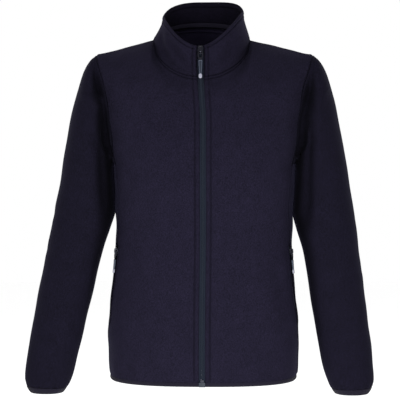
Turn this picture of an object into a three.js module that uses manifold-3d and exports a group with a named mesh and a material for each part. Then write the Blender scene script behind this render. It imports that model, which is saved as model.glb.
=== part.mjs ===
// Fleece zip jacket, filled out as if worn, as closed solids in millimetres.
// Frame: +X is the wearer's left, -Y the front, +Z up. The origin is the middle of the neck,
// at the height of the high shoulder points.
import * as THREE from "three";
import { mergeVertices } from "three/addons/utils/BufferGeometryUtils.js";
import Module from "manifold-3d";

const wasm = await Module();
wasm.setup();

// Cloth and seams
const FLEECE = 2.4;
const COLLAR_WALL = 4.4;
const BINDING_WALL = 3.2;
const TAPE_WALL = 0.8;
const SEAM = 0.3;
const COLLAR_SEAM = 0.45;
const ROUNDNESS = 2.6;

// Levels of the body
const HEM = -617;
const BINDING_BOTTOM = -624;
const ARMPIT = -225;

// Neck, shoulder and collar
const NECK_HALF = 88;
const NECK_MIDDLE_Y = 5;
const NECK_FRONT = { y: -74, z: -67 };
const NECK_BACK = { y: 62, z: 25 };
const SHOULDER_TIP = { x: 198, z: -27 };
const COLLAR_TOP = { front: -70, back: 60, frontZ: -12, backZ: 73 };
// Each side of the collar: its top edge's reach, height, dip to the front and rise behind, and its foot's lean
const COLLAR_SIDES = {
  left: { half: 77, z: 51, dip: 1.6, rise: 2, lean: 0.12 },
  right: { half: 71, z: 42, dip: 2, rise: 1.2, lean: 0.45 },
};
const COLLAR_LEAN = 0.12;
const RIM_DROP = 0.6;
const NECK_TAPE = { columnsIn: 2, low: 0.12, high: 0.86 };

// How the cloth above the yoke reaches the neck seam and the shoulder seam
const ARRIVAL = { neckInward: 0.52, neckUp: 0.85, shoulderLevel: 0.95, shoulderUp: 0.3, reach: 0.36 };

// Front opening and its zip
const OPENING_HALF = 5.5;
const ZIP = { chainHalf: 3, chainFront: 0.9, chainBack: 2.4, tapeInner: 0.4, tapeOuter: 14 };
const COLLAR_TAPE = 5.15;
const TAPE_BEND = 0.05;
const CHAIN_TOP = 0.94;
const SLIDER_REST = 0.45;
const ZIP_BOX = { half: 4.9, low: -7, high: 6, corner: 1, front: -1.6, back: 1.4, bevel: 0.4 };

// Pocket opening in the side seam
const POCKET = { top: -376, bottom: -516, ease: 8, half: 4.3, sliderBelow: 9 };
const POCKET_ZIP = { chainHalf: 2.6, chainFront: 0.9, chainBack: 2.3, tapeReach: 8, tapeDrop: 0.5 };

// Hem binding: how far it stands proud of the cloth, and how far its lower edge turns in
const HEM_PROUD = 0.4;
const HEM_TUCK = 1;

// Columns of the grids
const NECK_COLUMNS = 6;
const SHOULDER_COLUMNS = 6;
const FRONT_COLUMNS = NECK_COLUMNS + SHOULDER_COLUMNS;
const BACK_COLUMNS = 2 * FRONT_COLUMNS;
const SIDE_COLUMNS = 4;
const SIDE_ANGLE = 120;
const UPPER_STEPS = [0.2, 0.4, 0.6, 0.8, 0.92, 1];
const ARC_STEPS = 240;

// Body rings: half width, and how far the front and the back stand from the middle
const TORSO = [
  { z: -624, half: 171, front: 111, back: 108 },
  { z: -605, half: 174, front: 115, back: 112 },
  { z: -570, half: 176, front: 117, back: 115 },
  { z: -536, half: 176, front: 117, back: 114 },
  { z: -500, half: 174, front: 115, back: 109 },
  { z: -460, half: 169.5, front: 112, back: 103 },
  { z: -412, half: 165.5, front: 109, back: 96 },
  { z: -368, half: 163, front: 108, back: 94 },
  { z: -320, half: 164, front: 110, back: 99 },
  { z: -260, half: 166.5, front: 119, back: 106 },
  { z: -225, half: 168, front: 121, back: 109 },
  { z: -189, half: 175, front: 117, back: 111 },
  { z: -146, half: 183, front: 108, back: 111 },
  { z: -110, half: 190, front: 99, back: 109 },
];

// Side seam with the pocket in it, as an angle round the body from the front
const SIDE_SEAM = [
  { z: -624, angle: 82 },
  { z: -520, angle: 78 },
  { z: -450, angle: 75 },
  { z: -380, angle: 72.5 },
  { z: -340, angle: 69 },
  { z: -294, angle: 65.5 },
  { z: -250, angle: 67 },
  { z: -225, angle: 70 },
];

// Armhole edges, above the armpit: the front one by its x, the back one by its angle
const FRONT_ARMHOLE = [
  { z: -225, x: 160.1 },
  { z: -212, x: 163 },
  { z: -190, x: 166 },
  { z: -165, x: 168 },
  { z: -138, x: 171 },
  { z: -110, x: 175.5 },
];
const BACK_ARMHOLE = [
  { z: -225, angle: 70 },
  { z: -224, angle: 80 },
  { z: -222.5, angle: 88 },
  { z: -219, angle: 95 },
  { z: -212, angle: 99.5 },
  { z: -190, angle: 104 },
  { z: -165, angle: 107 },
  { z: -138, angle: 108.5 },
  { z: -110, angle: 109.5 },
];
const LOWER_LEVELS = [-617, -600, -560, -524, -516, -480, -430, -376, -368, -320, -270];

// Sleeve rings from the armhole to the cuff: the outer and inner point seen from the front,
// the half depth and the middle's place front to back
const SLEEVE = [
  { outerX: 207, outerZ: -34, innerX: 168.3, innerZ: -236, depth: 57, y: -2 },
  { outerX: 216, outerZ: -45, innerX: 168.4, innerZ: -244, depth: 60, y: -3 },
  { outerX: 224, outerZ: -62, innerX: 168.3, innerZ: -252, depth: 61.5, y: -4 },
  { outerX: 231.5, outerZ: -86, innerX: 167.8, innerZ: -261, depth: 62, y: -5 },
  { outerX: 239, outerZ: -114, innerX: 167.3, innerZ: -272, depth: 61.5, y: -6 },
  { outerX: 246.5, outerZ: -148, innerX: 166.8, innerZ: -285, depth: 60.5, y: -7 },
  { outerX: 254, outerZ: -188, innerX: 165.9, innerZ: -300, depth: 59.5, y: -8 },
  { outerX: 262, outerZ: -234, innerX: 165.8, innerZ: -318, depth: 58, y: -9 },
  { outerX: 270.5, outerZ: -284, innerX: 172.4, innerZ: -346, depth: 56.5, y: -10.5 },
  { outerX: 279, outerZ: -332, innerX: 182.5, innerZ: -378, depth: 55, y: -12 },
  { outerX: 286.5, outerZ: -380, innerX: 191, innerZ: -414, depth: 53.5, y: -14 },
  { outerX: 294, outerZ: -424, innerX: 198.5, innerZ: -452, depth: 52, y: -16 },
  { outerX: 301, outerZ: -468, innerX: 206, innerZ: -492, depth: 49.5, y: -18 },
  { outerX: 308, outerZ: -510, innerX: 214, innerZ: -532, depth: 47, y: -20 },
  { outerX: 314.5, outerZ: -552, innerX: 222, innerZ: -570, depth: 44, y: -22 },
  { outerX: 320, outerZ: -592, innerX: 230, innerZ: -604, depth: 41, y: -24 },
  { outerX: 322, outerZ: -622, innerX: 238, innerZ: -627, depth: 38.5, y: -25 },
  { outerX: 318.5, outerZ: -637, innerX: 244.5, innerZ: -639, depth: 34.5, y: -26 },
];
const CUFF_BINDING = [
  { outerX: 318.3, outerZ: -637.35, innerX: 244.7, innerZ: -639.35, depth: 34.3, y: -26 },
  { outerX: 314.5, outerZ: -643.5, innerX: 248.5, innerZ: -644.5, depth: 31.5, y: -26 },
  { outerX: 311.5, outerZ: -648.5, innerX: 251, innerZ: -648.5, depth: 29.5, y: -26 },
];
const SLEEVE_ROUNDNESS = 2.2;
const ARMHOLE_MIDDLE = { z: -125, halfHeight: 100, front: 50, back: 46 };
const EVEN_AFTER = 7;
const ARMHOLE_GAP = 0.35;
const ARMHOLE_LEAN = 0.35;

// Largest folds: a crest or hollow between two points seen from the front or the back
const FOLDS = [
  { piece: "sleeve_right", face: -1, x1: -222, z1: -99, x2: -184, z2: -128, width: 8, height: 4.5 },
  { piece: "sleeve_right", face: -1, x1: -204, z1: -66, x2: -190, z2: -108, width: 11, height: -5 },
  { piece: "sleeve_right", face: -1, x1: -192, z1: -146, x2: -182, z2: -262, width: 13, height: -4.5 },
  { piece: "sleeve_left", face: -1, x1: 196, z1: -66, x2: 206, z2: -134, width: 12, height: -5 },
  { piece: "sleeve_left", face: -1, x1: 192, z1: -160, x2: 196, z2: -322, width: 13, height: -4.5 },
  { piece: "sleeve_right", face: 1, x1: -196, z1: -84, x2: -188, z2: -206, width: 12, height: -5 },
  { piece: "sleeve_left", face: 1, x1: 198, z1: -78, x2: 190, z2: -214, width: 13, height: -5 },
  { piece: "sleeve_right", face: 1, x1: -268, z1: -330, x2: -206, z2: -364, width: 12, height: -4 },
  { piece: "sleeve_left", face: 1, x1: 266, z1: -338, x2: 204, z2: -374, width: 12, height: -4 },
  { piece: "front_left", face: -1, x1: 128, z1: -396, x2: 152, z2: -500, width: 12, height: -3.5 },
  { piece: "front_right", face: -1, x1: -150, z1: -196, x2: -112, z2: -250, width: 14, height: -3 },
  { piece: "back", face: 1, x1: 120, z1: -150, x2: 96, z2: -330, width: 18, height: -4 },
  { piece: "back", face: 1, x1: -126, z1: -158, x2: -104, z2: -316, width: 18, height: -4 },
];

// How far a fold runs out past its ends, as a share of its length, and round the side
const FOLD_FADE = { past: 0.25, side: 22 };

// How this jacket hangs: the body, the sleeves and the collar shift a little to the wearer's right.
// Each shift grows over a stretch of levels, and the collar's fades over a stretch of x.
const SWAY = {
  all: -2,
  hem: { most: -1.7, from: 300, over: 260 },
  cuff: { most: -9.5, from: 240, over: 400 },
  collar: { most: -5.5, from: 150, over: 100, sideFrom: 92, sideOver: 100 },
};

// Sliders and pulls, one row for each
const SLIDER = { half: 4.6, height: 15, back: 0.3, front: -2.6, corner: 2, bevel: 0.5 };
const ARCH = { half: 2.2, front: -6.8, foot: 6.2, top: 4.6, sunk: 0.6, eyeFoot: 2.6, eyeTop: 2.2, roof: 1.3 };
const TAB = { thick: 0.9, topHalf: 4.4, top: 1, wideHalf: 5.4, wideAt: -11, endHalf: 2.6 };
const TAB_WINDOW = { half: 3, top: -1, bottom: -9.6 };
const GRIP = { half: 2.4, corner: 1, thick: 1.2, bevel: 0.4 };
const TIP = { front: -1.8, back: 1.6, bevel: 0.7, flat: 0.2 };
const PULLS = {
  front: { size: 1, tab: 19, grip: 24, tip: 8.2, tipHalf: 3.4 },
  pocket: { size: 0.84, tab: 19, grip: 21, tip: 9, tipHalf: 3.4 },
};
const PULL_CLEARANCE = 1.1;

// Colours
const NAVY = 0x242234;
const NAVY_DARK = 0x1a1826;
const SLATE = 0x2c3444;
const GUNMETAL = 0x5a5c66;
const PALE = 0xc8c8d2;

const DEGREE = Math.PI / 180;
const vec = (x, y, z) => new THREE.Vector3(x, y, z);
const mix = (a, b, t) => a + (b - a) * t;
const ease = (t) => {
  const c = Math.min(1, Math.max(0, t));
  return c * c * (3 - 2 * c);
};

// Value of a table's column at z, on one smooth curve through its rows
function along(table, column, z) {
  let i = 0;
  while (i < table.length - 2 && z > table[i + 1].z) i += 1;
  const a = table[i];
  const b = table[i + 1];
  const before = table[i - 1] ?? a;
  const after = table[i + 2] ?? b;
  const t = Math.min(1, Math.max(0, (z - a.z) / (b.z - a.z)));
  const slopeA = ((b[column] - before[column]) / (b.z - before.z)) * (b.z - a.z);
  const slopeB = ((after[column] - a[column]) / (after.z - a.z)) * (b.z - a.z);
  const t2 = t * t;
  const t3 = t2 * t;
  return (
    (2 * t3 - 3 * t2 + 1) * a[column] +
    (t3 - 2 * t2 + t) * slopeA +
    (3 * t2 - 2 * t3) * b[column] +
    (t3 - t2) * slopeB
  );
}

// Point of the body's outside at a level and an angle from the front, towards the wearer's left
function bodyPoint(z, angle) {
  const s = Math.sin(angle * DEGREE);
  const c = Math.cos(angle * DEGREE);
  const depth = c > 0 ? along(TORSO, "front", z) : along(TORSO, "back", z);
  const x = along(TORSO, "half", z) * Math.sign(s) * Math.abs(s) ** (2 / ROUNDNESS);
  const y = -depth * Math.sign(c) * Math.abs(c) ** (2 / ROUNDNESS);
  return vec(x, y, z);
}

// Level direction from the body's outside to its inside
function bodyInward(z, angle) {
  const run = bodyPoint(z, angle + 0.5).sub(bodyPoint(z, angle - 0.5));
  return vec(-run.y, run.x, 0).normalize();
}

const angleOfX = (z, x) => Math.asin((x / along(TORSO, "half", z)) ** (ROUNDNESS / 2)) / DEGREE;

// Half of the gap between front and back at the side seam, wider at the pocket
function seamHalf(z) {
  const from = ease((z - POCKET.bottom + POCKET.ease) / POCKET.ease);
  const to = ease((POCKET.top + POCKET.ease - z) / POCKET.ease);
  return mix(SEAM / 2, POCKET.half, Math.min(from, to));
}

// Points evenly spaced along an arc of the body, less a little at each end
function bodyArc(z, from, to, count, trimStart, trimEnd) {
  const fine = [];
  for (let i = 0; i <= ARC_STEPS; i += 1) {
    fine.push(bodyPoint(z, mix(from, to, i / ARC_STEPS)));
  }
  const reach = [0];
  for (let i = 1; i < fine.length; i += 1) {
    reach.push(reach[i - 1] + fine[i].distanceTo(fine[i - 1]));
  }
  const last = reach[reach.length - 1] - trimEnd;
  const points = [];
  let k = 1;
  for (let i = 0; i <= count; i += 1) {
    const s = mix(trimStart, last, i / count);
    while (k < reach.length - 1 && reach[k] < s) k += 1;
    const t = (s - reach[k - 1]) / (reach[k] - reach[k - 1]);
    points.push(fine[k - 1].clone().lerp(fine[k], t));
  }
  return points;
}

// Neck seam, a quarter turn at a time: 0 is the front, 90 the shoulder and 180 the back
function neckPoint(turn) {
  const s = Math.sin(turn * DEGREE);
  const c = Math.cos(turn * DEGREE);
  const end = c > 0 ? NECK_FRONT : NECK_BACK;
  const share = Math.abs(c);
  return vec(NECK_HALF * s, mix(NECK_MIDDLE_Y, end.y, share), end.z * share);
}

const OPENING_TURN = Math.asin(OPENING_HALF / NECK_HALF) / DEGREE;
const neckInward = (p) =>
  vec(-p.x, NECK_MIDDLE_Y - p.y, 0).normalize().setZ(-RIM_DROP).normalize();
const cornerInward = (p) => neckInward(p).add(vec(0, 0, -1)).normalize();
const armholeInward = (p) => vec(0, -p.y, ARMHOLE_MIDDLE.z - p.z).normalize();

function shoulderPoint(share, y) {
  return vec(mix(NECK_HALF, SHOULDER_TIP.x, share), y, mix(0, SHOULDER_TIP.z, share));
}

// The cloth between the yoke level and the neck or shoulder, as one smooth curve for each column
function upperPoint(below, start, end, arrive, t) {
  const reach = start.distanceTo(end) * ARRIVAL.reach;
  const leave = start.clone().sub(below).normalize();
  const curve = new THREE.CubicBezierCurve3(
    start,
    start.clone().addScaledVector(leave, reach),
    end.clone().addScaledVector(arrive, -reach),
    end,
  );
  return curve.getPoint(t);
}

// Direction in which the cloth reaches the neck seam or the shoulder seam
function arrival(end, face, neckShare) {
  const inwards = vec(-end.x, NECK_MIDDLE_Y - end.y, 0).normalize();
  const atNeck = inwards.multiplyScalar(ARRIVAL.neckInward).setZ(ARRIVAL.neckUp);
  const atShoulder = vec(0, -face * ARRIVAL.shoulderLevel, ARRIVAL.shoulderUp);
  return atNeck.lerp(atShoulder, ease(neckShare)).normalize();
}

// Height of the folds of a piece at a point
function foldHeight(piece, p) {
  let height = 0;
  for (const fold of FOLDS) {
    if (fold.piece !== piece || p.y * fold.face < 0) continue;
    const run = new THREE.Vector2(fold.x2 - fold.x1, fold.z2 - fold.z1);
    const from = new THREE.Vector2(p.x - fold.x1, p.z - fold.z1);
    const length = run.length();
    const share = from.dot(run) / (length * length);
    const across = Math.abs(from.cross(run)) / length;
    const past = FOLD_FADE.past;
    const ends = ease((share + past) / (2 * past)) * ease((1 + past - share) / (2 * past));
    const side = ease(Math.abs(p.y) / FOLD_FADE.side);
    height += fold.height * ends * side * Math.exp(-((across / fold.width) ** 2));
  }
  return height;
}

// Shift of a point of the body, or of a sleeve, in the way the jacket hangs
function hung(p, sleeve) {
  const end = sleeve ? SWAY.cuff : SWAY.hem;
  const low = end.most * ease((-p.z - end.from) / end.over);
  const { most, from, over, sideFrom, sideOver } = SWAY.collar;
  const near = 1 - ease((Math.abs(p.x) - sideFrom) / sideOver);
  const high = most * ease((p.z + from) / over) * near;
  return vec(p.x + SWAY.all + low + high, p.y, p.z);
}

// Inward directions of a grid, from its neighbours where none is given
function inwardOf(grid, fixed, turn, closed) {
  return grid.map((row, i) =>
    row.map((p, j) => {
      if (fixed?.[i]?.[j]) return fixed[i][j];
      const n = row.length;
      const next = closed ? row[(j + 1) % n] : row[Math.min(j + 1, n - 1)];
      const previous = closed ? row[(j + n - 1) % n] : row[Math.max(j - 1, 0)];
      const up = grid[Math.min(i + 1, grid.length - 1)][j];
      const down = grid[Math.max(i - 1, 0)][j];
      const across = next.clone().sub(previous);
      return up.clone().sub(down).cross(across).multiplyScalar(turn).normalize();
    }),
  );
}

// Closed geometry between two grids of like size
function wallBetween(outer, inner, closed) {
  const rows = outer.length;
  const columns = outer[0].length;
  const positions = [...outer.flat(), ...inner.flat()].flatMap((p) => [p.x, p.y, p.z]);
  const at = (layer, i, j) => layer * rows * columns + i * columns + (j % columns);
  const index = [];
  const quad = (a, b, c, d) => index.push(a, b, c, a, c, d);
  const spans = closed ? columns : columns - 1;
  for (let i = 0; i < rows - 1; i += 1) {
    for (let j = 0; j < spans; j += 1) {
      quad(at(0, i, j), at(0, i, j + 1), at(0, i + 1, j + 1), at(0, i + 1, j));
      quad(at(1, i, j), at(1, i + 1, j), at(1, i + 1, j + 1), at(1, i, j + 1));
    }
  }
  for (let j = 0; j < spans; j += 1) {
    quad(at(0, 0, j + 1), at(0, 0, j), at(1, 0, j), at(1, 0, j + 1));
    quad(at(0, rows - 1, j), at(0, rows - 1, j + 1), at(1, rows - 1, j + 1), at(1, rows - 1, j));
  }
  if (!closed) {
    for (let i = 0; i < rows - 1; i += 1) {
      const e = columns - 1;
      quad(at(0, i, 0), at(0, i + 1, 0), at(1, i + 1, 0), at(1, i, 0));
      quad(at(0, i + 1, e), at(0, i, e), at(1, i, e), at(1, i + 1, e));
    }
  }
  const geometry = new THREE.BufferGeometry();
  geometry.setAttribute("position", new THREE.Float32BufferAttribute(positions, 3));
  geometry.setIndex(index);
  return facingOut(geometry);
}

// Turns the faces round if the solid is inside out
function facingOut(geometry) {
  const p = geometry.attributes.position;
  const index = geometry.index.array;
  const corner = [vec(0, 0, 0), vec(0, 0, 0), vec(0, 0, 0)];
  let volume = 0;
  for (let i = 0; i < index.length; i += 3) {
    corner.forEach((c, k) => c.fromBufferAttribute(p, index[i + k]));
    volume += corner[0].dot(corner[1].clone().cross(corner[2]));
  }
  if (volume < 0) {
    for (let i = 0; i < index.length; i += 3) {
      [index[i + 1], index[i + 2]] = [index[i + 2], index[i + 1]];
    }
  }
  geometry.computeVertexNormals();
  return geometry;
}

const moved = (grid, inward, depth) =>
  grid.map((row, i) => row.map((p, j) => p.clone().addScaledVector(inward[i][j], depth)));

// A cloth wall from a grid: it goes from one depth under the grid's points to another
function clothWall(panel, from, to, sleeve = false) {
  const shift = (grid) => grid.map((row) => row.map((p) => hung(p, sleeve)));
  const outer = shift(moved(panel.grid, panel.inward, from));
  const inner = shift(moved(panel.grid, panel.inward, to));
  return wallBetween(outer, inner, panel.closed ?? false);
}

// Adds a piece's folds to a grid, none at its edges, and works out its inward directions
function finishPanel(piece, grid, fixed, turn, closed = false) {
  const plain = inwardOf(grid, fixed, turn, closed);
  const folded = grid.map((row, i) =>
    row.map((p, j) => {
      const edge = !closed && (j === 0 || j === row.length - 1);
      if (edge || i === 0 || i === grid.length - 1 || fixed?.[i]?.[j]) return p;
      return p.clone().addScaledVector(plain[i][j], -foldHeight(piece, p));
    }),
  );
  return { grid: folded, inward: inwardOf(folded, fixed, turn, closed), closed };
}

// Front panel, from the zip to the side seam and the armhole, and up to the neck and shoulder
function frontPanel(side) {
  const grid = [];
  const fixed = [];
  const level = (z, angle, trim, inward) => {
    const row = bodyArc(z, angleOfX(z, OPENING_HALF), angle, FRONT_COLUMNS, 0, trim);
    const directions = row.map(() => null);
    directions[FRONT_COLUMNS] = inward ?? armholeInward(row[FRONT_COLUMNS]);
    grid.push(row);
    fixed.push(directions);
  };
  for (const z of LOWER_LEVELS) {
    const angle = along(SIDE_SEAM, "angle", z);
    level(z, angle, seamHalf(z), bodyInward(z, angle));
  }
  for (const { z, x } of FRONT_ARMHOLE) {
    level(z, angleOfX(z, x), z === ARMPIT ? SEAM / 2 : 0, null);
  }
  const start = grid[grid.length - 1];
  const below = grid[grid.length - 2];
  for (const t of UPPER_STEPS) {
    const row = start.map((from, j) => {
      const neckShare = Math.max(0, (j - NECK_COLUMNS) / SHOULDER_COLUMNS);
      const turn = mix(OPENING_TURN, 90, j / NECK_COLUMNS);
      const end = j < NECK_COLUMNS ? neckPoint(turn) : shoulderPoint(neckShare, NECK_MIDDLE_Y);
      if (j >= NECK_COLUMNS) end.y -= SEAM / 2;
      const share = Math.min(1, j / NECK_COLUMNS);
      return upperPoint(below[j], from, end, arrival(end, -1, share), t);
    });
    const directions = row.map(() => null);
    directions[FRONT_COLUMNS] = armholeInward(row[FRONT_COLUMNS]);
    if (t === 1) {
      row.forEach((p, j) => {
        if (j < NECK_COLUMNS) directions[j] = neckInward(p);
        else if (j === NECK_COLUMNS) directions[j] = cornerInward(p);
        else if (j < FRONT_COLUMNS) directions[j] = vec(0, 0, -1);
      });
    }
    grid.push(row);
    fixed.push(directions);
  }
  const mirror = (p) => p && vec(side * p.x, p.y, p.z);
  const mirrored = (rows) => rows.map((row) => row.map(mirror));
  const name = side > 0 ? "front_left" : "front_right";
  const panel = finishPanel(name, mirrored(grid), mirrored(fixed), side);
  panel.inward.forEach((row) => row[0].setX(0).normalize());
  return panel;
}

// Back panel, from one side seam and armhole round to the other
function backPanel() {
  const grid = [];
  const fixed = [];
  const level = (z, angle, trim, inward) => {
    const middle = bodyArc(z, SIDE_ANGLE, 360 - SIDE_ANGLE, BACK_COLUMNS - 2 * SIDE_COLUMNS, 0, 0);
    const leftSide = bodyArc(z, angle, SIDE_ANGLE, SIDE_COLUMNS, trim, 0);
    const rightSide = bodyArc(z, 360 - SIDE_ANGLE, 360 - angle, SIDE_COLUMNS, 0, trim);
    const row = [...leftSide, ...middle.slice(1, -1), ...rightSide];
    const directions = row.map(() => null);
    [0, BACK_COLUMNS].forEach((j) => {
      const turned = inward && vec(j === 0 ? inward.x : -inward.x, inward.y, 0);
      directions[j] = turned ?? armholeInward(row[j]);
    });
    grid.push(row);
    fixed.push(directions);
  };
  for (const z of LOWER_LEVELS) {
    const angle = along(SIDE_SEAM, "angle", z);
    level(z, angle, seamHalf(z), bodyInward(z, angle));
  }
  for (const { z, angle } of BACK_ARMHOLE) {
    level(z, angle, z === ARMPIT ? SEAM / 2 : 0, null);
  }
  const start = grid[grid.length - 1];
  const below = grid[grid.length - 2];
  for (const t of UPPER_STEPS) {
    const row = start.map((from, j) => {
      const half = Math.min(j, BACK_COLUMNS - j);
      const side = j < FRONT_COLUMNS ? 1 : -1;
      const onNeck = half >= SHOULDER_COLUMNS;
      const turn = mix(90, 180, (half - SHOULDER_COLUMNS) / NECK_COLUMNS);
      const end = onNeck
        ? neckPoint(turn)
        : shoulderPoint(1 - half / SHOULDER_COLUMNS, NECK_MIDDLE_Y);
      if (half <= SHOULDER_COLUMNS) end.y += SEAM / 2;
      end.x *= side;
      const share = 1 - Math.max(0, (half - SHOULDER_COLUMNS) / NECK_COLUMNS);
      return upperPoint(below[j], from, end, arrival(end, 1, share), t);
    });
    const directions = row.map(() => null);
    [0, BACK_COLUMNS].forEach((j) => (directions[j] = armholeInward(row[j])));
    if (t === 1) {
      row.forEach((p, j) => {
        const half = Math.min(j, BACK_COLUMNS - j);
        if (half > SHOULDER_COLUMNS) directions[j] = neckInward(p);
        else if (half === SHOULDER_COLUMNS) directions[j] = cornerInward(p);
        else if (half > 0) directions[j] = vec(0, 0, -1);
      });
    }
    grid.push(row);
    fixed.push(directions);
  }
  return finishPanel("back", grid, fixed, 1);
}

// Sleeve ring at its own angles: 0 is the inner side, 90 the front, 180 the outer side
function sleeveRing(row, side, angles) {
  const middle = vec((row.outerX + row.innerX) / 2, row.y, (row.outerZ + row.innerZ) / 2);
  const toOuter = vec((row.outerX - row.innerX) / 2, 0, (row.outerZ - row.innerZ) / 2);
  return angles.map((angle) => {
    const c = Math.cos(angle);
    const s = Math.sin(angle);
    const p = middle
      .clone()
      .addScaledVector(toOuter, -Math.sign(c) * Math.abs(c) ** (2 / SLEEVE_ROUNDNESS));
    p.y -= row.depth * Math.sign(s) * Math.abs(s) ** (2 / SLEEVE_ROUNDNESS);
    return p.setX(side * p.x);
  });
}

// Armhole of one side as a loop from the armpit up the front, over the shoulder and down the back
function armholeLoop(front, back, side) {
  const first = LOWER_LEVELS.length;
  const frontEdge = front.grid.slice(first).map((row) => row[FRONT_COLUMNS]);
  const backEdge = back.grid.slice(first).map((row) => row[side > 0 ? 0 : BACK_COLUMNS]);
  const loop = [...frontEdge, ...backEdge.slice(1, -1).reverse()];
  return loop.map((p) => vec(p.x + side * ARMHOLE_GAP, p.y, p.z));
}

// Angle of an armhole point, as a sleeve ring counts them
function ringAngle(p) {
  const reach = p.y < 0 ? ARMHOLE_MIDDLE.front : ARMHOLE_MIDDLE.back;
  return Math.atan2(-p.y / reach, (ARMHOLE_MIDDLE.z - p.z) / ARMHOLE_MIDDLE.halfHeight);
}

// Sleeve, from the armhole loop through its rings to a level edge at the cuff
function sleevePanel(front, back, side) {
  const loop = armholeLoop(front, back, side);
  const own = loop.map(ringAngle);
  own.forEach((angle, j) => {
    if (j > 0) while (own[j] < own[j - 1]) own[j] += 2 * Math.PI;
  });
  const even = own.map((angle, j) => own[0] + (j * 2 * Math.PI) / own.length);
  const rings = SLEEVE.map((row, i) => {
    const share = ease((i + 1) / EVEN_AFTER);
    return sleeveRing(row, side, own.map((angle, j) => mix(angle, even[j], share)));
  });
  const grid = [loop, ...rings];
  const fixed = [loop.map((p) => armholeInward(p).setX(side * ARMHOLE_LEAN).normalize())];
  const name = side > 0 ? "sleeve_left" : "sleeve_right";
  const panel = finishPanel(name, grid, fixed, -side, true);
  panel.inward[SLEEVE.length].forEach((d) => d.setZ(0).normalize());
  return { ...panel, angles: even };
}

// Point of the collar, which runs from the neck seam up to its top edge and is open at the front
function collarPoint(turn, t) {
  const s = Math.sin(turn * DEGREE);
  const c = Math.cos(turn * DEGREE);
  const bottom = neckPoint(turn).add(vec(0, 0, COLLAR_SEAM));
  const side = s < 0 ? COLLAR_SIDES.right : COLLAR_SIDES.left;
  const opening = OPENING_HALF * (1 - Math.abs(s)) * (c > 0 ? Math.sign(s) : 0);
  const x = side.half * s + opening * (1 - side.half / NECK_HALF);
  const y = mix(NECK_MIDDLE_Y, c > 0 ? COLLAR_TOP.front : COLLAR_TOP.back, Math.abs(c));
  const z =
    c > 0
      ? mix(COLLAR_TOP.frontZ, side.z, Math.abs(s) ** side.dip)
      : mix(COLLAR_TOP.backZ, side.z, (1 - Math.abs(c)) ** side.rise);
  const top = vec(x, y, z);
  const reach = bottom.distanceTo(top) / 3;
  const leave = vec(-side.lean * s, COLLAR_LEAN * c, 1).normalize();
  const curve = new THREE.CubicBezierCurve3(
    bottom,
    bottom.clone().addScaledVector(leave, reach),
    top.clone().addScaledVector(vec(0, 0, 1), -reach),
    top,
  );
  return curve.getPoint(t);
}

const collarTurns = (() => {
  const turns = [];
  for (let j = 0; j <= NECK_COLUMNS; j += 1) turns.push(mix(OPENING_TURN, 90, j / NECK_COLUMNS));
  for (let j = 1; j <= BACK_COLUMNS / 2; j += 1) turns.push(90 + (j * 180) / (BACK_COLUMNS / 2));
  for (let j = NECK_COLUMNS - 1; j >= 0; j -= 1) {
    turns.push(360 - mix(OPENING_TURN, 90, j / NECK_COLUMNS));
  }
  return turns;
})();
const COLLAR_STEPS = [0, 0.25, 0.5, 0.75, 1];

function collarPanel() {
  const grid = COLLAR_STEPS.map((t) => collarTurns.map((turn) => collarPoint(turn, t)));
  grid.forEach((row) => {
    row[0].setX(OPENING_HALF);
    row[row.length - 1].setX(-OPENING_HALF);
  });
  const fixed = [grid[0].map(neckInward)];
  const panel = finishPanel("collar", grid, fixed, 1);
  panel.inward.forEach((row) => {
    row[0].setX(0).normalize();
    row[row.length - 1].setX(0).normalize();
  });
  return panel;
}

// Strip of the collar's inside along the back of the neck seam
function neckTape(collar) {
  const from = NECK_COLUMNS + NECK_TAPE.columnsIn;
  const to = collarTurns.length - 1 - from;
  const pick = (row) => row.slice(from, to + 1);
  const lift = (rows, share) => pick(rows[0]).map((p, j) => p.clone().lerp(pick(rows[1])[j], share));
  const both = (rows) => [lift(rows, NECK_TAPE.low), lift(rows, NECK_TAPE.high)];
  const grid = both(collar.grid);
  const inward = both(collar.inward);
  inward.flat().forEach((d) => d.setZ(0).normalize());
  return { grid, inward };
}

// Rows of the centre front, on the body and then on the collar, as points at x = 0
function centreFront(front, collar) {
  const rows = [];
  front.grid.forEach((row, i) => {
    rows.push({ p: row[0].clone().setX(0), inward: front.inward[i][0], next: row[1], collar: false });
  });
  const neck = rows[rows.length - 1];
  neck.inward = rows[rows.length - 2].inward;
  collar.grid.slice(1).forEach((row, i) => {
    rows.push({ p: row[0].clone().setX(0), inward: collar.inward[i + 1][0], collar: true });
  });
  const end = rows.pop();
  const previous = rows[rows.length - 1];
  rows.push({ ...end, p: previous.p.clone().lerp(end.p, CHAIN_TOP) });
  return rows;
}

// Tape of the front zip on one side, behind the front's folded edge
function frontTape(rows, side) {
  const grid = rows.map((row, i) => {
    const high = row.collar || rows[i + 1]?.collar || rows[i + 2]?.collar;
    const reach = high ? COLLAR_TAPE : ZIP.tapeOuter;
    const drop = row.next && !high ? (row.next.y - row.p.y) * (reach / Math.abs(row.next.x)) : 0;
    return [
      row.p.clone().setX(side * ZIP.tapeInner),
      row.p.clone().setX(side * Math.min(OPENING_HALF, reach - TAPE_BEND)),
      row.p.clone().add(vec(side * reach, drop, 0)),
    ];
  });
  return { grid, inward: rows.map((row) => [row.inward, row.inward, row.inward]) };
}

// Closed chain of the front zip
function frontChain(rows) {
  const grid = rows.map((row) => [-1, 1].map((s) => row.p.clone().setX(s * ZIP.chainHalf)));
  return { grid: grid.slice(1), inward: rows.slice(1).map((row) => [row.inward, row.inward]) };
}

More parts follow.
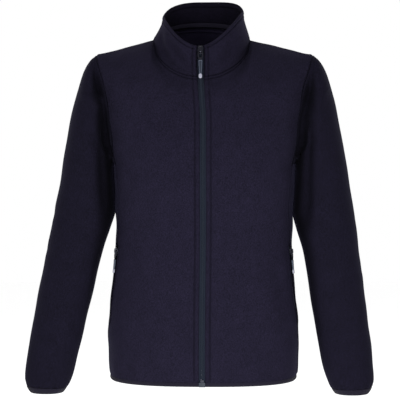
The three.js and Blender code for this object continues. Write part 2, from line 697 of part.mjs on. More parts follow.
// Pocket rows: the edges of front and back, and points on each panel a little way in
function pocketRows(front, back, side) {
  const rows = [];
  const step = side > 0 ? 1 : -1;
  const backEdge = side > 0 ? 0 : BACK_COLUMNS;
  const reach = (edge, inner) => {
    const into = inner.clone().sub(edge).normalize();
    return edge.clone().addScaledVector(into, POCKET_ZIP.tapeReach);
  };
  front.grid.slice(0, LOWER_LEVELS.length).forEach((row, i) => {
    const z = LOWER_LEVELS[i];
    if (z < POCKET.bottom - POCKET.ease || z > POCKET.top + POCKET.ease) return;
    rows.push({
      z,
      front: row[FRONT_COLUMNS],
      back: back.grid[i][backEdge],
      frontIn: reach(row[FRONT_COLUMNS], row[FRONT_COLUMNS - 1]),
      backIn: reach(back.grid[i][backEdge], back.grid[i][backEdge + step]),
      inward: front.inward[i][FRONT_COLUMNS],
      frontInward: front.inward[i][FRONT_COLUMNS - 1],
      backInward: back.inward[i][backEdge + step],
    });
  });
  return rows;
}

// Both tapes of a pocket zip as one strip under the opening
function pocketTape(rows) {
  return {
    grid: rows.map((row) => [row.frontIn, row.front, row.back, row.backIn]),
    inward: rows.map((row) => {
      const blend = (d) => row.inward.clone().lerp(d, 0.5).normalize();
      return [blend(row.frontInward), row.inward, row.inward, blend(row.backInward)];
    }),
  };
}

const openRows = (rows) => rows.filter((row) => row.z >= POCKET.bottom && row.z <= POCKET.top);

// Closed chain of a pocket zip, in its opening
function pocketChain(rows) {
  const open = openRows(rows);
  const grid = open.map((row) => {
    const middle = row.front.clone().lerp(row.back, 0.5);
    const across = row.back.clone().sub(row.front).normalize();
    return [-1, 1].map((s) => middle.clone().addScaledVector(across, s * POCKET_ZIP.chainHalf));
  });
  return { grid, inward: open.map((row) => [row.inward, row.inward]) };
}

// Hem binding: round the edge of the fronts and the back
function hemBinding(left, back, right) {
  const edge = [...left.grid[0], ...back.grid[0], ...[...right.grid[0]].reverse()];
  const inward = [...left.inward[0], ...back.inward[0], ...[...right.inward[0]].reverse()];
  const rows = [
    { z: HEM - SEAM, tuck: 0 },
    { z: (HEM + BINDING_BOTTOM) / 2, tuck: 0 },
    { z: BINDING_BOTTOM, tuck: HEM_TUCK },
  ];
  return {
    grid: rows.map(({ z, tuck }) => edge.map((p, j) => p.clone().setZ(z).addScaledVector(inward[j], tuck))),
    inward: rows.map(() => inward.map((d) => d.clone().setZ(0).normalize())),
  };
}

// Cuff binding: three rings under the sleeve's edge
function cuffBinding(sleeve, side) {
  const grid = CUFF_BINDING.map((row) => sleeveRing(row, side, sleeve.angles));
  const panel = finishPanel("cuff_binding", grid, null, -side, true);
  panel.inward.flat().forEach((d) => d.setZ(0).normalize());
  return panel;
}

// Joins closed solids that cross into one
function joined(...geometries) {
  const solids = geometries.map((geometry) => {
    const plain = geometry.clone();
    plain.deleteAttribute("normal");
    plain.deleteAttribute("uv");
    const merged = mergeVertices(plain, 1e-4);
    const mesh = new wasm.Mesh({
      numProp: 3,
      vertProperties: new Float32Array(merged.attributes.position.array),
      triVerts: new Uint32Array(merged.index.array),
    });
    return new wasm.Manifold(mesh);
  });
  const mesh = solids.reduce((a, b) => a.add(b)).getMesh();
  const geometry = new THREE.BufferGeometry();
  geometry.setAttribute("position", new THREE.BufferAttribute(mesh.vertProperties, 3));
  geometry.setIndex(new THREE.BufferAttribute(mesh.triVerts, 1));
  geometry.computeVertexNormals();
  return geometry;
}

// Outline in a plane, with round corners
function roundedOutline(half, low, high, radius) {
  const shape = new THREE.Shape();
  shape.moveTo(-half + radius, low);
  shape.lineTo(half - radius, low);
  shape.absarc(half - radius, low + radius, radius, -Math.PI / 2, 0);
  shape.lineTo(half, high - radius);
  shape.absarc(half - radius, high - radius, radius, 0, Math.PI / 2);
  shape.lineTo(-half + radius, high);
  shape.absarc(-half + radius, high - radius, radius, Math.PI / 2, Math.PI);
  shape.lineTo(-half, low + radius);
  shape.absarc(-half + radius, low + radius, radius, Math.PI, 1.5 * Math.PI);
  return shape;
}

// A flat plate whose outline is drawn in x and z, between two depths (y)
function plate(shape, front, back, bevel = 0) {
  const geometry = new THREE.ExtrudeGeometry(shape, {
    depth: back - front - 2 * bevel,
    bevelEnabled: bevel > 0,
    bevelThickness: bevel,
    bevelSize: bevel,
    bevelOffset: -bevel,
    bevelSegments: 1,
    curveSegments: 3,
  });
  return geometry.rotateX(Math.PI / 2).translate(0, back - bevel, 0);
}

// Slider: a flat body over the chain and an arch that holds the pull. Its own frame has
// the pull's axis at z = 0, with y = 0 on the cloth's surface and -Y outwards.
function sliderGeometry(size) {
  const high = SLIDER.height / 2;
  const outline = roundedOutline(SLIDER.half, -high, high, SLIDER.corner);
  const body = plate(outline, SLIDER.front, SLIDER.back, SLIDER.bevel);
  const arch = new THREE.Shape();
  arch.moveTo(-ARCH.foot, SLIDER.front + ARCH.sunk);
  arch.lineTo(ARCH.foot, SLIDER.front + ARCH.sunk);
  arch.lineTo(ARCH.top, ARCH.front);
  arch.lineTo(-ARCH.top, ARCH.front);
  arch.closePath();
  const eye = new THREE.Path();
  eye.moveTo(-ARCH.eyeFoot, SLIDER.front);
  eye.lineTo(-ARCH.eyeTop, ARCH.front + ARCH.roof);
  eye.lineTo(ARCH.eyeTop, ARCH.front + ARCH.roof);
  eye.lineTo(ARCH.eyeFoot, SLIDER.front);
  eye.closePath();
  arch.holes.push(eye);
  const bridge = new THREE.ExtrudeGeometry(arch, { depth: 2 * ARCH.half, bevelEnabled: false });
  const turn = new THREE.Matrix4().makeBasis(vec(0, 0, 1), vec(0, 1, 0), vec(-1, 0, 0));
  bridge.applyMatrix4(turn).translate(ARCH.half, 0, 0);
  return joined(body, bridge).scale(size, size, size);
}

// Pull: a tab with a window for the arch, a slim grip and a round tip, below its axis
function pullGeometries(pull) {
  const tab = new THREE.Shape();
  tab.moveTo(-TAB.topHalf, TAB.top);
  tab.lineTo(TAB.topHalf, TAB.top);
  tab.lineTo(TAB.wideHalf, TAB.wideAt);
  tab.lineTo(TAB.endHalf, -pull.tab);
  tab.lineTo(-TAB.endHalf, -pull.tab);
  tab.lineTo(-TAB.wideHalf, TAB.wideAt);
  tab.closePath();
  const window = new THREE.Path();
  window.moveTo(-TAB_WINDOW.half, TAB_WINDOW.top);
  window.lineTo(-TAB_WINDOW.half, TAB_WINDOW.bottom);
  window.lineTo(TAB_WINDOW.half, TAB_WINDOW.bottom);
  window.lineTo(TAB_WINDOW.half, TAB_WINDOW.top);
  window.closePath();
  tab.holes.push(window);
  const gripTop = -pull.tab - SEAM;
  const gripEnd = gripTop - pull.grip;
  const tipTop = gripEnd - SEAM;
  const grip = roundedOutline(GRIP.half, gripEnd, gripTop, GRIP.corner);
  const tip = roundedOutline(pull.tipHalf, tipTop - pull.tip, tipTop, pull.tipHalf - TIP.flat);
  return {
    tab: plate(tab, -TAB.thick, TAB.thick),
    grip: plate(grip, -GRIP.thick, GRIP.thick, GRIP.bevel),
    tip: plate(tip, TIP.front, TIP.back, TIP.bevel),
  };
}

const root = new THREE.Group();

// Puts a named mesh with a finish of its own under a parent
function add(parent, name, geometry, color, roughness = 0.95, metalness = 0) {
  const finish = { color, roughness, metalness, flatShading: true };
  const mesh = new THREE.Mesh(geometry, new THREE.MeshStandardMaterial(finish));
  mesh.name = name;
  parent.add(mesh);
}

// A slider and its pull, stood on a surface with its outward direction and the way the zip runs
function addSlider(name, place, outward, up, pull) {
  const holder = new THREE.Group();
  const x = up.clone().cross(outward.clone().negate()).negate().normalize();
  const y = outward.clone().negate();
  const z = x.clone().cross(y).normalize();
  holder.quaternion.setFromRotationMatrix(new THREE.Matrix4().makeBasis(x, y, z));
  holder.position.copy(place);
  add(holder, name + "_slider", sliderGeometry(pull.size), GUNMETAL, 0.4, 0.8);
  const swing = new THREE.Group();
  swing.position.y = (SLIDER.front - PULL_CLEARANCE - SEAM) * pull.size;
  swing.scale.setScalar(pull.size);
  const pieces = pullGeometries(pull);
  add(swing, name + "_pull_tab", pieces.tab, GUNMETAL, 0.4, 0.8);
  add(swing, name + "_pull_grip", pieces.grip, SLATE, 0.6);
  add(swing, name + "_pull_tip", pieces.tip, PALE, 0.5);
  holder.add(swing);
  root.add(holder);
}

// Body
const frontLeft = frontPanel(1);
const frontRight = frontPanel(-1);
const back = backPanel();
const collar = collarPanel();
add(root, "front_left", clothWall(frontLeft, 0, FLEECE), NAVY);
add(root, "front_right", clothWall(frontRight, 0, FLEECE), NAVY);
add(root, "back", clothWall(back, 0, FLEECE), NAVY);
add(root, "collar", clothWall(collar, 0, COLLAR_WALL), NAVY);
const tapeDepth = COLLAR_WALL + SEAM;
add(root, "neck_tape", clothWall(neckTape(collar), tapeDepth, tapeDepth + TAPE_WALL), NAVY_DARK);

// Sleeves and bindings
for (const [side, name, front] of [[1, "left", frontLeft], [-1, "right", frontRight]]) {
  const sleeve = sleevePanel(front, back, side);
  add(root, "sleeve_" + name, clothWall(sleeve, 0, FLEECE, true), NAVY);
  const cuff = cuffBinding(sleeve, side);
  add(root, "cuff_binding_" + name, clothWall(cuff, 0, BINDING_WALL, true), NAVY_DARK);
}
const hem = hemBinding(frontLeft, back, frontRight);
add(root, "hem_binding", clothWall(hem, -HEM_PROUD, BINDING_WALL - HEM_PROUD), NAVY_DARK);

// Front zip
const centre = centreFront(frontLeft, collar);
const zipDepth = FLEECE + SEAM;
for (const [side, name] of [[1, "left"], [-1, "right"]]) {
  const tape = clothWall(frontTape(centre, side), zipDepth, zipDepth + TAPE_WALL);
  add(root, "front_zip_tape_" + name, tape, SLATE, 0.85);
}
add(root, "front_zip_chain", clothWall(frontChain(centre), ZIP.chainFront, ZIP.chainBack), SLATE, 0.6);
const hemFront = hung(centre[0].p, false);
const boxOutline = roundedOutline(ZIP_BOX.half, ZIP_BOX.low, ZIP_BOX.high, ZIP_BOX.corner);
const box = plate(boxOutline, ZIP_BOX.front, ZIP_BOX.back, ZIP_BOX.bevel);
add(root, "front_zip_box", box.translate(hemFront.x, hemFront.y, HEM), GUNMETAL, 0.5, 0.3);
const [neckRow, , , lowerRow, topRow] = centre.slice(-COLLAR_STEPS.length);
const topPlace = hung(lowerRow.p.clone().lerp(topRow.p, SLIDER_REST), false);
const topUp = topRow.p.clone().sub(neckRow.p).normalize();
const topOut = vec(1, 0, 0).cross(topUp).normalize();
addSlider("front", topPlace, topOut, topUp, PULLS.front);

// Pocket zips
for (const [side, name, front] of [[1, "left", frontLeft], [-1, "right", frontRight]]) {
  const rows = pocketRows(front, back, side);
  const pocketDepth = zipDepth + POCKET_ZIP.tapeDrop;
  const tape = clothWall(pocketTape(rows), pocketDepth, pocketDepth + TAPE_WALL);
  add(root, "pocket_zip_tape_" + name, tape, SLATE, 0.85);
  const chain = clothWall(pocketChain(rows), POCKET_ZIP.chainFront, POCKET_ZIP.chainBack);
  add(root, "pocket_zip_chain_" + name, chain, SLATE, 0.6);
  const [lower, top] = openRows(rows).slice(-2);
  const middle = (row) => hung(row.front.clone().lerp(row.back, 0.5), false);
  const up = middle(top).sub(middle(lower)).normalize();
  const place = middle(top).addScaledVector(up, -POCKET.sliderBelow);
  const outward = top.inward.clone().negate();
  outward.addScaledVector(up, -outward.dot(up)).normalize();
  addSlider("pocket_" + name, place, outward, up, PULLS.pocket);
}

export default root;
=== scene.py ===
"""A navy fleece zip jacket, filled out as if worn: its looks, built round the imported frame.

Lengths in the tables are millimetres in the jacket's own frame: +X is the wearer's left, -Y the
front and +Z up, with the origin in the middle of the neck. Meshes are made in metres.
"""

from __future__ import annotations

import bisect
import logging
import math
from dataclasses import dataclass, field
from enum import Enum
from typing import Callable, Iterable, Sequence

import bmesh
import bpy
import numpy as np
from mathutils import Matrix, Vector

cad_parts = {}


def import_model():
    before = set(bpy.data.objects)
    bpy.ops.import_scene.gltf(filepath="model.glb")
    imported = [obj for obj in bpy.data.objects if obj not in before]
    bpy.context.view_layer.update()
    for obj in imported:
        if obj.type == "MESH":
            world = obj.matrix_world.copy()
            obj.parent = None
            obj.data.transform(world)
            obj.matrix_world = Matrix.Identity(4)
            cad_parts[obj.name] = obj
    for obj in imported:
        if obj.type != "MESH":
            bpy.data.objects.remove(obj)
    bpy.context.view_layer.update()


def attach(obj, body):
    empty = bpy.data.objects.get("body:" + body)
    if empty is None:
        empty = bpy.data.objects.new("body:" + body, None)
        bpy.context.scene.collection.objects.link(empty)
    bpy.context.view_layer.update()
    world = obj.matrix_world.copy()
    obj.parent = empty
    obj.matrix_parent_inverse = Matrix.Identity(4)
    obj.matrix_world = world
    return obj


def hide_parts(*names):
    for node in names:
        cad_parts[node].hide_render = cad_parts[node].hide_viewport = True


log = logging.getLogger("jacket")

MM = 0.001
DEGREE = math.pi / 180
JACKET = "jacket"

# Cloth and seams
FLEECE_WALL = 2.4
COLLAR_WALL = 4.4
BINDING_WALL = 3.2
TAPE_WALL = 0.8
SEAM = 0.3
COLLAR_SEAM = 0.45
ROUNDNESS = 2.6
SLEEVE_ROUNDNESS = 2.2

# Levels of the body
HEM = -617.0
BINDING_BOTTOM = -624.0
ARMPIT = -225.0
YOKE = -110.0
UNDER_YOKE = -138.0

# Neck, shoulder and collar
NECK_HALF = 88.0
NECK_MIDDLE_Y = 5.0
NECK_FRONT = (-74.0, -67.0)
NECK_BACK = (62.0, 25.0)
SHOULDER_TIP = (198.0, -27.0)
COLLAR_FRONT_Y, COLLAR_BACK_Y = -70.0, 60.0
COLLAR_FRONT_Z, COLLAR_BACK_Z = -12.0, 73.0
RIM_DROP = 0.6

# Zips
OPENING_HALF = 5.5
OPENING_TURN = math.asin(OPENING_HALF / NECK_HALF) / DEGREE
POCKET_TOP, POCKET_BOTTOM, POCKET_EASE, POCKET_HALF = -376.0, -516.0, 8.0, 4.3
TAPE_DEPTH = FLEECE_WALL + SEAM

# How this jacket hangs: everything shifts a little to the wearer's right
SWAY_ALL, SWAY_HEM, SWAY_CUFF, SWAY_COLLAR = -2.0, -1.7, -9.5, -5.5

Grid = np.ndarray


class Side(Enum):
    """The wearer's own sides, as signs of X."""

    LEFT = 1
    RIGHT = -1

    @property
    def word(self) -> str:
        """The side's name, as the nodes have it."""
        return self.name.lower()


@dataclass(frozen=True)
class CollarSide:
    """One side of the collar: its top edge's reach, height, dip and rise, and its foot's lean."""

    half: float
    z: float
    dip: float
    rise: float
    lean: float


COLLAR_LEFT = CollarSide(77.0, 51.0, 1.6, 2.0, 0.12)
COLLAR_RIGHT = CollarSide(71.0, 42.0, 2.0, 1.2, 0.45)


@dataclass(frozen=True)
class BodyRing:
    """One level of the body: half its width, and how far front and back stand from the middle."""

    z: float
    half: float
    front: float
    back: float


@dataclass(frozen=True)
class EdgeRow:
    """Where an edge runs at a level: an angle round the body, or an x."""

    z: float
    at: float


@dataclass(frozen=True)
class SleeveRing:
    """One ring of a sleeve: its outer and inner point seen from the front, half depth and middle."""

    outer_x: float
    outer_z: float
    inner_x: float
    inner_z: float
    depth: float
    y: float


@dataclass(frozen=True)
class Crease:
    """A soft ridge (height above 0) or trough between two points seen from the front or back."""

    piece: str
    face: int
    x1: float
    z1: float
    x2: float
    z2: float
    width: float
    height: float
    bow: float = 0.0


TORSO = (
    BodyRing(-624, 171, 111, 108),
    BodyRing(-605, 174, 115, 112),
    BodyRing(-570, 176, 117, 115),
    BodyRing(-536, 176, 117, 114),
    BodyRing(-500, 174, 115, 109),
    BodyRing(-460, 169.5, 112, 103),
    BodyRing(-412, 165.5, 109, 96),
    BodyRing(-368, 163, 108, 94),
    BodyRing(-320, 164, 110, 99),
    BodyRing(-260, 166.5, 119, 106),
    BodyRing(-225, 168, 121, 109),
    BodyRing(-189, 175, 117, 111),
    BodyRing(-146, 183, 108, 111),
    BodyRing(-110, 190, 99, 109),
)
SIDE_SEAM = (
    EdgeRow(-624, 82),
    EdgeRow(-520, 78),
    EdgeRow(-450, 75),
    EdgeRow(-380, 72.5),
    EdgeRow(-340, 69),
    EdgeRow(-294, 65.5),
    EdgeRow(-250, 67),
    EdgeRow(-225, 70),
)
FRONT_ARMHOLE = (
    EdgeRow(-225, 160.1),
    EdgeRow(-212, 163),
    EdgeRow(-190, 166),
    EdgeRow(-165, 168),
    EdgeRow(-138, 171),
    EdgeRow(-110, 175.5),
)
BACK_ARMHOLE = (
    EdgeRow(-225, 70),
    EdgeRow(-224, 80),
    EdgeRow(-222.5, 88),
    EdgeRow(-219, 95),
    EdgeRow(-212, 99.5),
    EdgeRow(-190, 104),
    EdgeRow(-165, 107),
    EdgeRow(-138, 108.5),
    EdgeRow(-110, 109.5),
)
SLEEVE = (
    SleeveRing(207, -34, 165, -236, 57, -2),
    SleeveRing(216, -45, 164.5, -244, 60, -3),
    SleeveRing(224, -62, 164, -252, 61.5, -4),
    SleeveRing(231.5, -86, 163.5, -261, 62, -5),
    SleeveRing(239, -114, 163, -272, 61.5, -6),
    SleeveRing(246.5, -148, 162.5, -285, 60.5, -7),
    SleeveRing(254, -188, 162, -300, 59.5, -8),
    SleeveRing(262, -234, 163, -318, 58, -9),
    SleeveRing(270.5, -284, 171.4, -346, 56.5, -10.5),
    SleeveRing(279, -332, 182.5, -378, 55, -12),
    SleeveRing(286.5, -380, 191, -414, 53.5, -14),
    SleeveRing(294, -424, 198.5, -452, 52, -16),
    SleeveRing(301, -468, 206, -492, 49.5, -18),
    SleeveRing(308, -510, 214, -532, 47, -20),
    SleeveRing(314.5, -552, 222, -570, 44, -22),
    SleeveRing(320, -592, 230, -604, 41, -24),
    SleeveRing(322, -622, 238, -627, 38.5, -25),
    SleeveRing(318.5, -637, 244.5, -639, 34.5, -26),
)
CUFF_BINDING = (
    SleeveRing(318.3, -637.35, 244.7, -639.35, 34.3, -26),
    SleeveRing(314.5, -643.5, 248.5, -644.5, 31.5, -26),
    SleeveRing(311.5, -648.5, 251, -648.5, 29.5, -26),
)
ARMHOLE_MIDDLE_Z, ARMHOLE_HALF_HEIGHT, ARMHOLE_FRONT, ARMHOLE_BACK = -125.0, 100.0, 50.0, 46.0
EVEN_AFTER = 7

CREASES = (
    Crease("sleeve_right", -1, -222, -99, -182, -127, 8, 5.5, 3),
    Crease("sleeve_right", -1, -198, -62, -187, -104, 10, -5),
    Crease("sleeve_right", -1, -185, -160, -176, -310, 12, -8),
    Crease("sleeve_right", -1, -206, -160, -198, -206, 7, -2, 4),
    Crease("sleeve_right", -1, -276, -318, -206, -352, 9, -2.2, 6),
    Crease("sleeve_right", -1, -288, -384, -222, -404, 8, -1.6, -5),
    Crease("sleeve_right", -1, -300, -560, -262, -628, 8, -1.8, 4),
    Crease("sleeve_left", -1, 191, -76, 193, -128, 11, -5),
    Crease("sleeve_left", -1, 187, -150, 184, -330, 15, -12),
    Crease("sleeve_left", -1, 179, -160, 186, -190, 6, 2.2),
    Crease("sleeve_left", -1, 222, -86, 204, -150, 8, 2.6, -4),
    Crease("sleeve_left", -1, 268, -330, 214, -366, 9, -2.2, 5),
    Crease("sleeve_left", -1, 292, -420, 240, -452, 9, -1.8, -5),
    Crease("sleeve_left", -1, 296, -566, 262, -630, 8, -1.8, -4),
    Crease("sleeve_right", 1, -196, -84, -188, -206, 12, -5),
    Crease("sleeve_left", 1, 198, -78, 190, -214, 13, -5),
    Crease("sleeve_right", 1, -268, -330, -206, -364, 12, -4),
    Crease("sleeve_left", 1, 266, -338, 204, -374, 12, -4),
    Crease("sleeve_right", 1, -286, -440, -232, -470, 9, -2.4, 5),
    Crease("sleeve_left", 1, 284, -446, 226, -476, 9, -2.2, -5),
    Crease("front_left", -1, 128, -396, 152, -500, 12, -3.5),
    Crease("front_left", -1, 152, -214, 118, -262, 12, -2, 4),
    Crease("front_left", -1, 60, -92, 100, -160, 16, -1.8, -6),
    Crease("front_left", -1, 34, -470, 42, -600, 20, -1.8, 5),
    Crease("front_left", -1, 112, -540, 120, -612, 14, -1.8),
    Crease("front_right", -1, -150, -196, -112, -250, 14, -3),
    Crease("front_right", -1, -52, -96, -96, -152, 16, -2, 6),
    Crease("front_right", -1, -120, -300, -78, -372, 16, -1.6, 5),
    Crease("front_right", -1, -40, -430, -32, -590, 20, -1.8, -6),
    Crease("front_right", -1, -128, -520, -136, -612, 14, -2.2, 3),
    Crease("back", 1, 120, -150, 96, -330, 18, -4),
    Crease("back", 1, -126, -158, -104, -316, 18, -4),
    Crease("back", 1, 60, -28, 128, -92, 18, -2.4, -6),
    Crease("back", 1, -58, -30, -122, -98, 18, -2.2, 6),
    Crease("back", 1, 20, -400, 46, -590, 24, -2.6, 8),
    Crease("back", 1, -70, -420, -86, -596, 22, -2.4, -6),
    Crease("back", 1, -128, -352, -60, -372, 14, -2.2, 5),
    Crease("back", 1, 132, -362, 70, -384, 14, -2.4, -5),
    Crease("collar", -1, -62, -2, -28, -46, 5, -3.8, 3),
    Crease("collar", -1, -50, 2, -22, -38, 5, 2.8, 3),
    Crease("collar", -1, -66, 16, -38, -10, 4.5, -2.4, 2),
    Crease("collar", -1, -74, 14, -62, -30, 5, -3.6, -3),
    Crease("collar", -1, -70, -22, -34, -58, 4.5, -2.6, -4),
    Crease("collar", -1, 60, 0, 44, -44, 8, -2.4, 2),
    Crease("collar", -1, 52, -12, 38, -44, 6, -1.0, 2),
    Crease("collar", 1, 30, 66, 34, 34, 7, -1.4, 2),
    Crease("collar", 1, -44, 64, -38, 30, 7, -1.2, -2),
)


# Sums and curves


def mix(a: float, b: float, t: float) -> float:
    """A value between two, at a share of the way."""
    return a + (b - a) * t


def ease(t: np.ndarray | float) -> np.ndarray | float:
    """A share that starts and ends gently."""
    c = np.clip(t, 0.0, 1.0)
    return c * c * (3 - 2 * c)


def unit(v: np.ndarray) -> np.ndarray:
    """Directions of length 1."""
    return v / np.maximum(np.linalg.norm(v, axis=-1, keepdims=True), 1e-12)


def along(rows: Sequence, name: str, z: float) -> float:
    """A table's column at a level, on one smooth curve through its rows.

    Args:
        rows: The table, lowest level first.
        name: The column's name.
        z: The level.

    Returns:
        The column's value there.
    """
    levels = [row.z for row in rows]
    i = min(max(bisect.bisect_left(levels, z) - 1, 0), len(rows) - 2)
    a, b = rows[i], rows[i + 1]
    before, after = rows[max(i - 1, 0)], rows[min(i + 2, len(rows) - 1)]
    t = min(1.0, max(0.0, (z - a.z) / (b.z - a.z)))
    start, end = getattr(a, name), getattr(b, name)
    leave = (end - getattr(before, name)) / (b.z - before.z) * (b.z - a.z)
    arrive = (getattr(after, name) - start) / (after.z - a.z) * (b.z - a.z)
    t2, t3 = t * t, t * t * t
    return (
        (2 * t3 - 3 * t2 + 1) * start
        + (t3 - 2 * t2 + t) * leave
        + (3 * t2 - 2 * t3) * end
        + (t3 - t2) * arrive
    )


def body_line(z: float, start: float, end: float, steps: int = 200) -> np.ndarray:
    """The body's outside at a level, from one angle round from the front to another."""
    angles = np.linspace(start, end, steps + 1) * DEGREE
    s, c = np.sin(angles), np.cos(angles)
    depth = np.where(c > 0, along(TORSO, "front", z), along(TORSO, "back", z))
    x = along(TORSO, "half", z) * np.sign(s) * np.abs(s) ** (2 / ROUNDNESS)
    y = -depth * np.sign(c) * np.abs(c) ** (2 / ROUNDNESS)
    return np.stack([x, y, np.full_like(x, z)], axis=-1)


def angle_of_x(z: float, x: float) -> float:
    """The angle at which the body's front passes an x."""
    return math.asin((x / along(TORSO, "half", z)) ** (ROUNDNESS / 2)) / DEGREE


def lengths(line: np.ndarray) -> np.ndarray:
    """How far along a line each of its points lies."""
    steps = np.linalg.norm(np.diff(line, axis=0), axis=-1)
    return np.concatenate([[0.0], np.cumsum(steps)])


def at_distances(line: np.ndarray, distances: np.ndarray) -> np.ndarray:
    """Points at given distances along a line."""
    reach = lengths(line)
    return np.stack([np.interp(distances, reach, line[:, k]) for k in range(3)], axis=-1)


@dataclass(frozen=True)
class Stations:
    """Where the columns of a row stand: close together near its ends, even between."""

    start: tuple[float, ...]
    end: tuple[float, ...]
    middle: int

    @property
    def count(self) -> int:
        """How many stations there are."""
        return len(self.start) + self.middle + len(self.end)

    def over(self, length: float) -> np.ndarray:
        """The stations' distances along a row of that length."""
        inner = np.linspace(self.start[-1], length - self.end[-1], self.middle + 2)[1:-1]
        return np.concatenate([self.start, inner, length - np.array(self.end[::-1])])


def neck_point(turn: float) -> np.ndarray:
    """A point of the neck seam: turn 0 is the front, 90 the shoulder and 180 the back."""
    s, c = math.sin(turn * DEGREE), math.cos(turn * DEGREE)
    y, z = NECK_FRONT if c > 0 else NECK_BACK
    share = abs(c)
    return np.array([NECK_HALF * s, mix(NECK_MIDDLE_Y, y, share), z * share])


def shoulder_point(share: float) -> np.ndarray:
    """A point of the shoulder seam, from the neck to the shoulder tip."""
    return np.array([mix(NECK_HALF, SHOULDER_TIP[0], share), NECK_MIDDLE_Y, SHOULDER_TIP[1] * share])


def arrival(end: np.ndarray, face: int, neck_share: float) -> np.ndarray:
    """Direction in which the cloth reaches the neck seam or the shoulder seam."""
    inwards = unit(np.array([-end[0], NECK_MIDDLE_Y - end[1], 0.0])) * 0.52
    inwards[2] = 0.85
    at_shoulder = np.array([0.0, -face * 0.95, 0.3])
    t = float(ease(neck_share))
    return unit(inwards * (1 - t) + at_shoulder * t)


def bezier(p0: np.ndarray, p1: np.ndarray, p2: np.ndarray, p3: np.ndarray, t: np.ndarray) -> np.ndarray:
    """Points of a cubic curve."""
    u = 1 - t
    return u**3 * p0 + 3 * u * u * t * p1 + 3 * u * t * t * p2 + t**3 * p3


def upper_cloth(below: np.ndarray, start: np.ndarray, end: np.ndarray, arrive: np.ndarray) -> Grid:
    """Rows of the cloth between the yoke level and the neck or shoulder seam, yoke row first."""
    reach = np.linalg.norm(end - start, axis=-1, keepdims=True) * 0.36
    leave = unit(start - below)
    t = np.linspace(0, 1, 61)[:, None, None]
    return bezier(start, start + leave * reach, end - arrive * reach, end, t)


def resampled(grid: Grid, stations: "Stations") -> Grid:
    """The grid with its rows set at the stations' distances along each column."""
    columns = [at_distances(grid[:, j], stations.over(lengths(grid[:, j])[-1])) for j in range(grid.shape[1])]
    return np.stack(columns, axis=1)


def collar_point(turn: float, t: float) -> np.ndarray:
    """A point of the collar's outside: t runs from the neck seam up to the top edge."""
    s, c = math.sin(turn * DEGREE), math.cos(turn * DEGREE)
    bottom = neck_point(turn) + np.array([0.0, 0.0, COLLAR_SEAM * 0.3])
    side = COLLAR_RIGHT if s < 0 else COLLAR_LEFT
    opening = OPENING_HALF * (1 - abs(s)) * (math.copysign(1.0, s) if c > 0 else 0.0)
    x = side.half * s + opening * (1 - side.half / NECK_HALF)
    y = mix(NECK_MIDDLE_Y, COLLAR_FRONT_Y if c > 0 else COLLAR_BACK_Y, abs(c))
    if c > 0:
        z = mix(COLLAR_FRONT_Z, side.z, abs(s) ** side.dip)
    else:
        z = mix(COLLAR_BACK_Z, side.z, (1 - abs(c)) ** side.rise)
    top = np.array([x, y, z])
    reach = np.linalg.norm(top - bottom) / 3
    leave = unit(np.array([-side.lean * s, 0.12 * c, 1.0]))
    return bezier(bottom, bottom + leave * reach, top - np.array([0.0, 0.0, reach]), top, t)


def hung(points: np.ndarray, sleeve: bool = False) -> np.ndarray:
    """Points shifted in the way this jacket hangs."""
    x, z = points[..., 0], points[..., 2]
    low = SWAY_CUFF * ease((-z - 240) / 400) if sleeve else SWAY_HEM * ease((-z - 300) / 260)
    near = 1 - ease((np.abs(x) - 92) / 100)
    collar = SWAY_COLLAR * ease((z + 150) / 100) * near
    shifted = points.copy()
    shifted[..., 0] = x + SWAY_ALL + low + collar
    return shifted


def refine_rows(grid: Grid, parts: Sequence[Sequence[float]]) -> Grid:
    """A grid with more rows, on smooth curves down its columns.

    Args:
        grid: The rows to run through.
        parts: For each span between two rows, the shares of it at which rows start.

    Returns:
        The finer grid, which keeps the last row.
    """
    steps = np.linalg.norm(np.diff(grid, axis=0), axis=-1)
    reach = np.concatenate([np.zeros((1, grid.shape[1])), np.cumsum(steps, axis=0)])
    rows = []
    last = len(grid) - 1
    for i in range(last):
        before, after = max(i - 1, 0), min(i + 2, last)
        span = (reach[i + 1] - reach[i])[:, None]
        leave = (grid[i + 1] - grid[before]) / (reach[i + 1] - reach[before])[:, None] * span
        arrive = (grid[after] - grid[i]) / (reach[after] - reach[i])[:, None] * span
        for t in parts[i]:
            t2, t3 = t * t, t * t * t
            rows.append(
                (2 * t3 - 3 * t2 + 1) * grid[i]
                + (t3 - 2 * t2 + t) * leave
                + (3 * t2 - 2 * t3) * grid[i + 1]
                + (t3 - t2) * arrive
            )
    rows.append(grid[last])
    return np.array(rows)


# Relief of the cloth


def ditch(distance: np.ndarray, depth: float, width: float, at: float = 0.0) -> np.ndarray:
    """A groove along a line at a distance from an edge."""
    return -depth * np.exp(-(((distance - at) / width) ** 2))


def lip(distance: np.ndarray, radius: float) -> np.ndarray:
    """How far a rounded free edge draws in, near the edge."""
    inside = np.clip(radius - distance, 0.0, radius)
    return radius - np.sqrt(np.maximum(radius * radius - inside * inside, 0.0))


def crease_height(piece: str, points: np.ndarray) -> np.ndarray:
    """Height of a piece's creases at its points."""
    height = np.zeros(points.shape[:-1])
    for crease in (row for row in CREASES if row.piece == piece):
        start, end = np.array([crease.x1, crease.z1]), np.array([crease.x2, crease.z2])
        run = end - start
        length = float(np.hypot(*run))
        along_it, across_it = run / length, np.array([-run[1], run[0]]) / length
        offset = np.stack([points[..., 0], points[..., 2]], axis=-1) - start
        share = offset @ along_it / length
        bow = crease.bow * 4 * np.clip(share, 0, 1) * (1 - np.clip(share, 0, 1))
        aside = np.abs(offset @ across_it - bow)
        ends = ease((share + 0.25) / 0.5) * ease((1.25 - share) / 0.5)
        facing = ease(points[..., 1] * crease.face / 22)
        height += crease.height * ends * facing * np.exp(-((aside / crease.width) ** 2))
    return height


@dataclass(frozen=True)
class Swell:
    """One slow wave of the cloth: its length, direction, start and height."""

    length: float
    turn: float
    start: float
    height: float


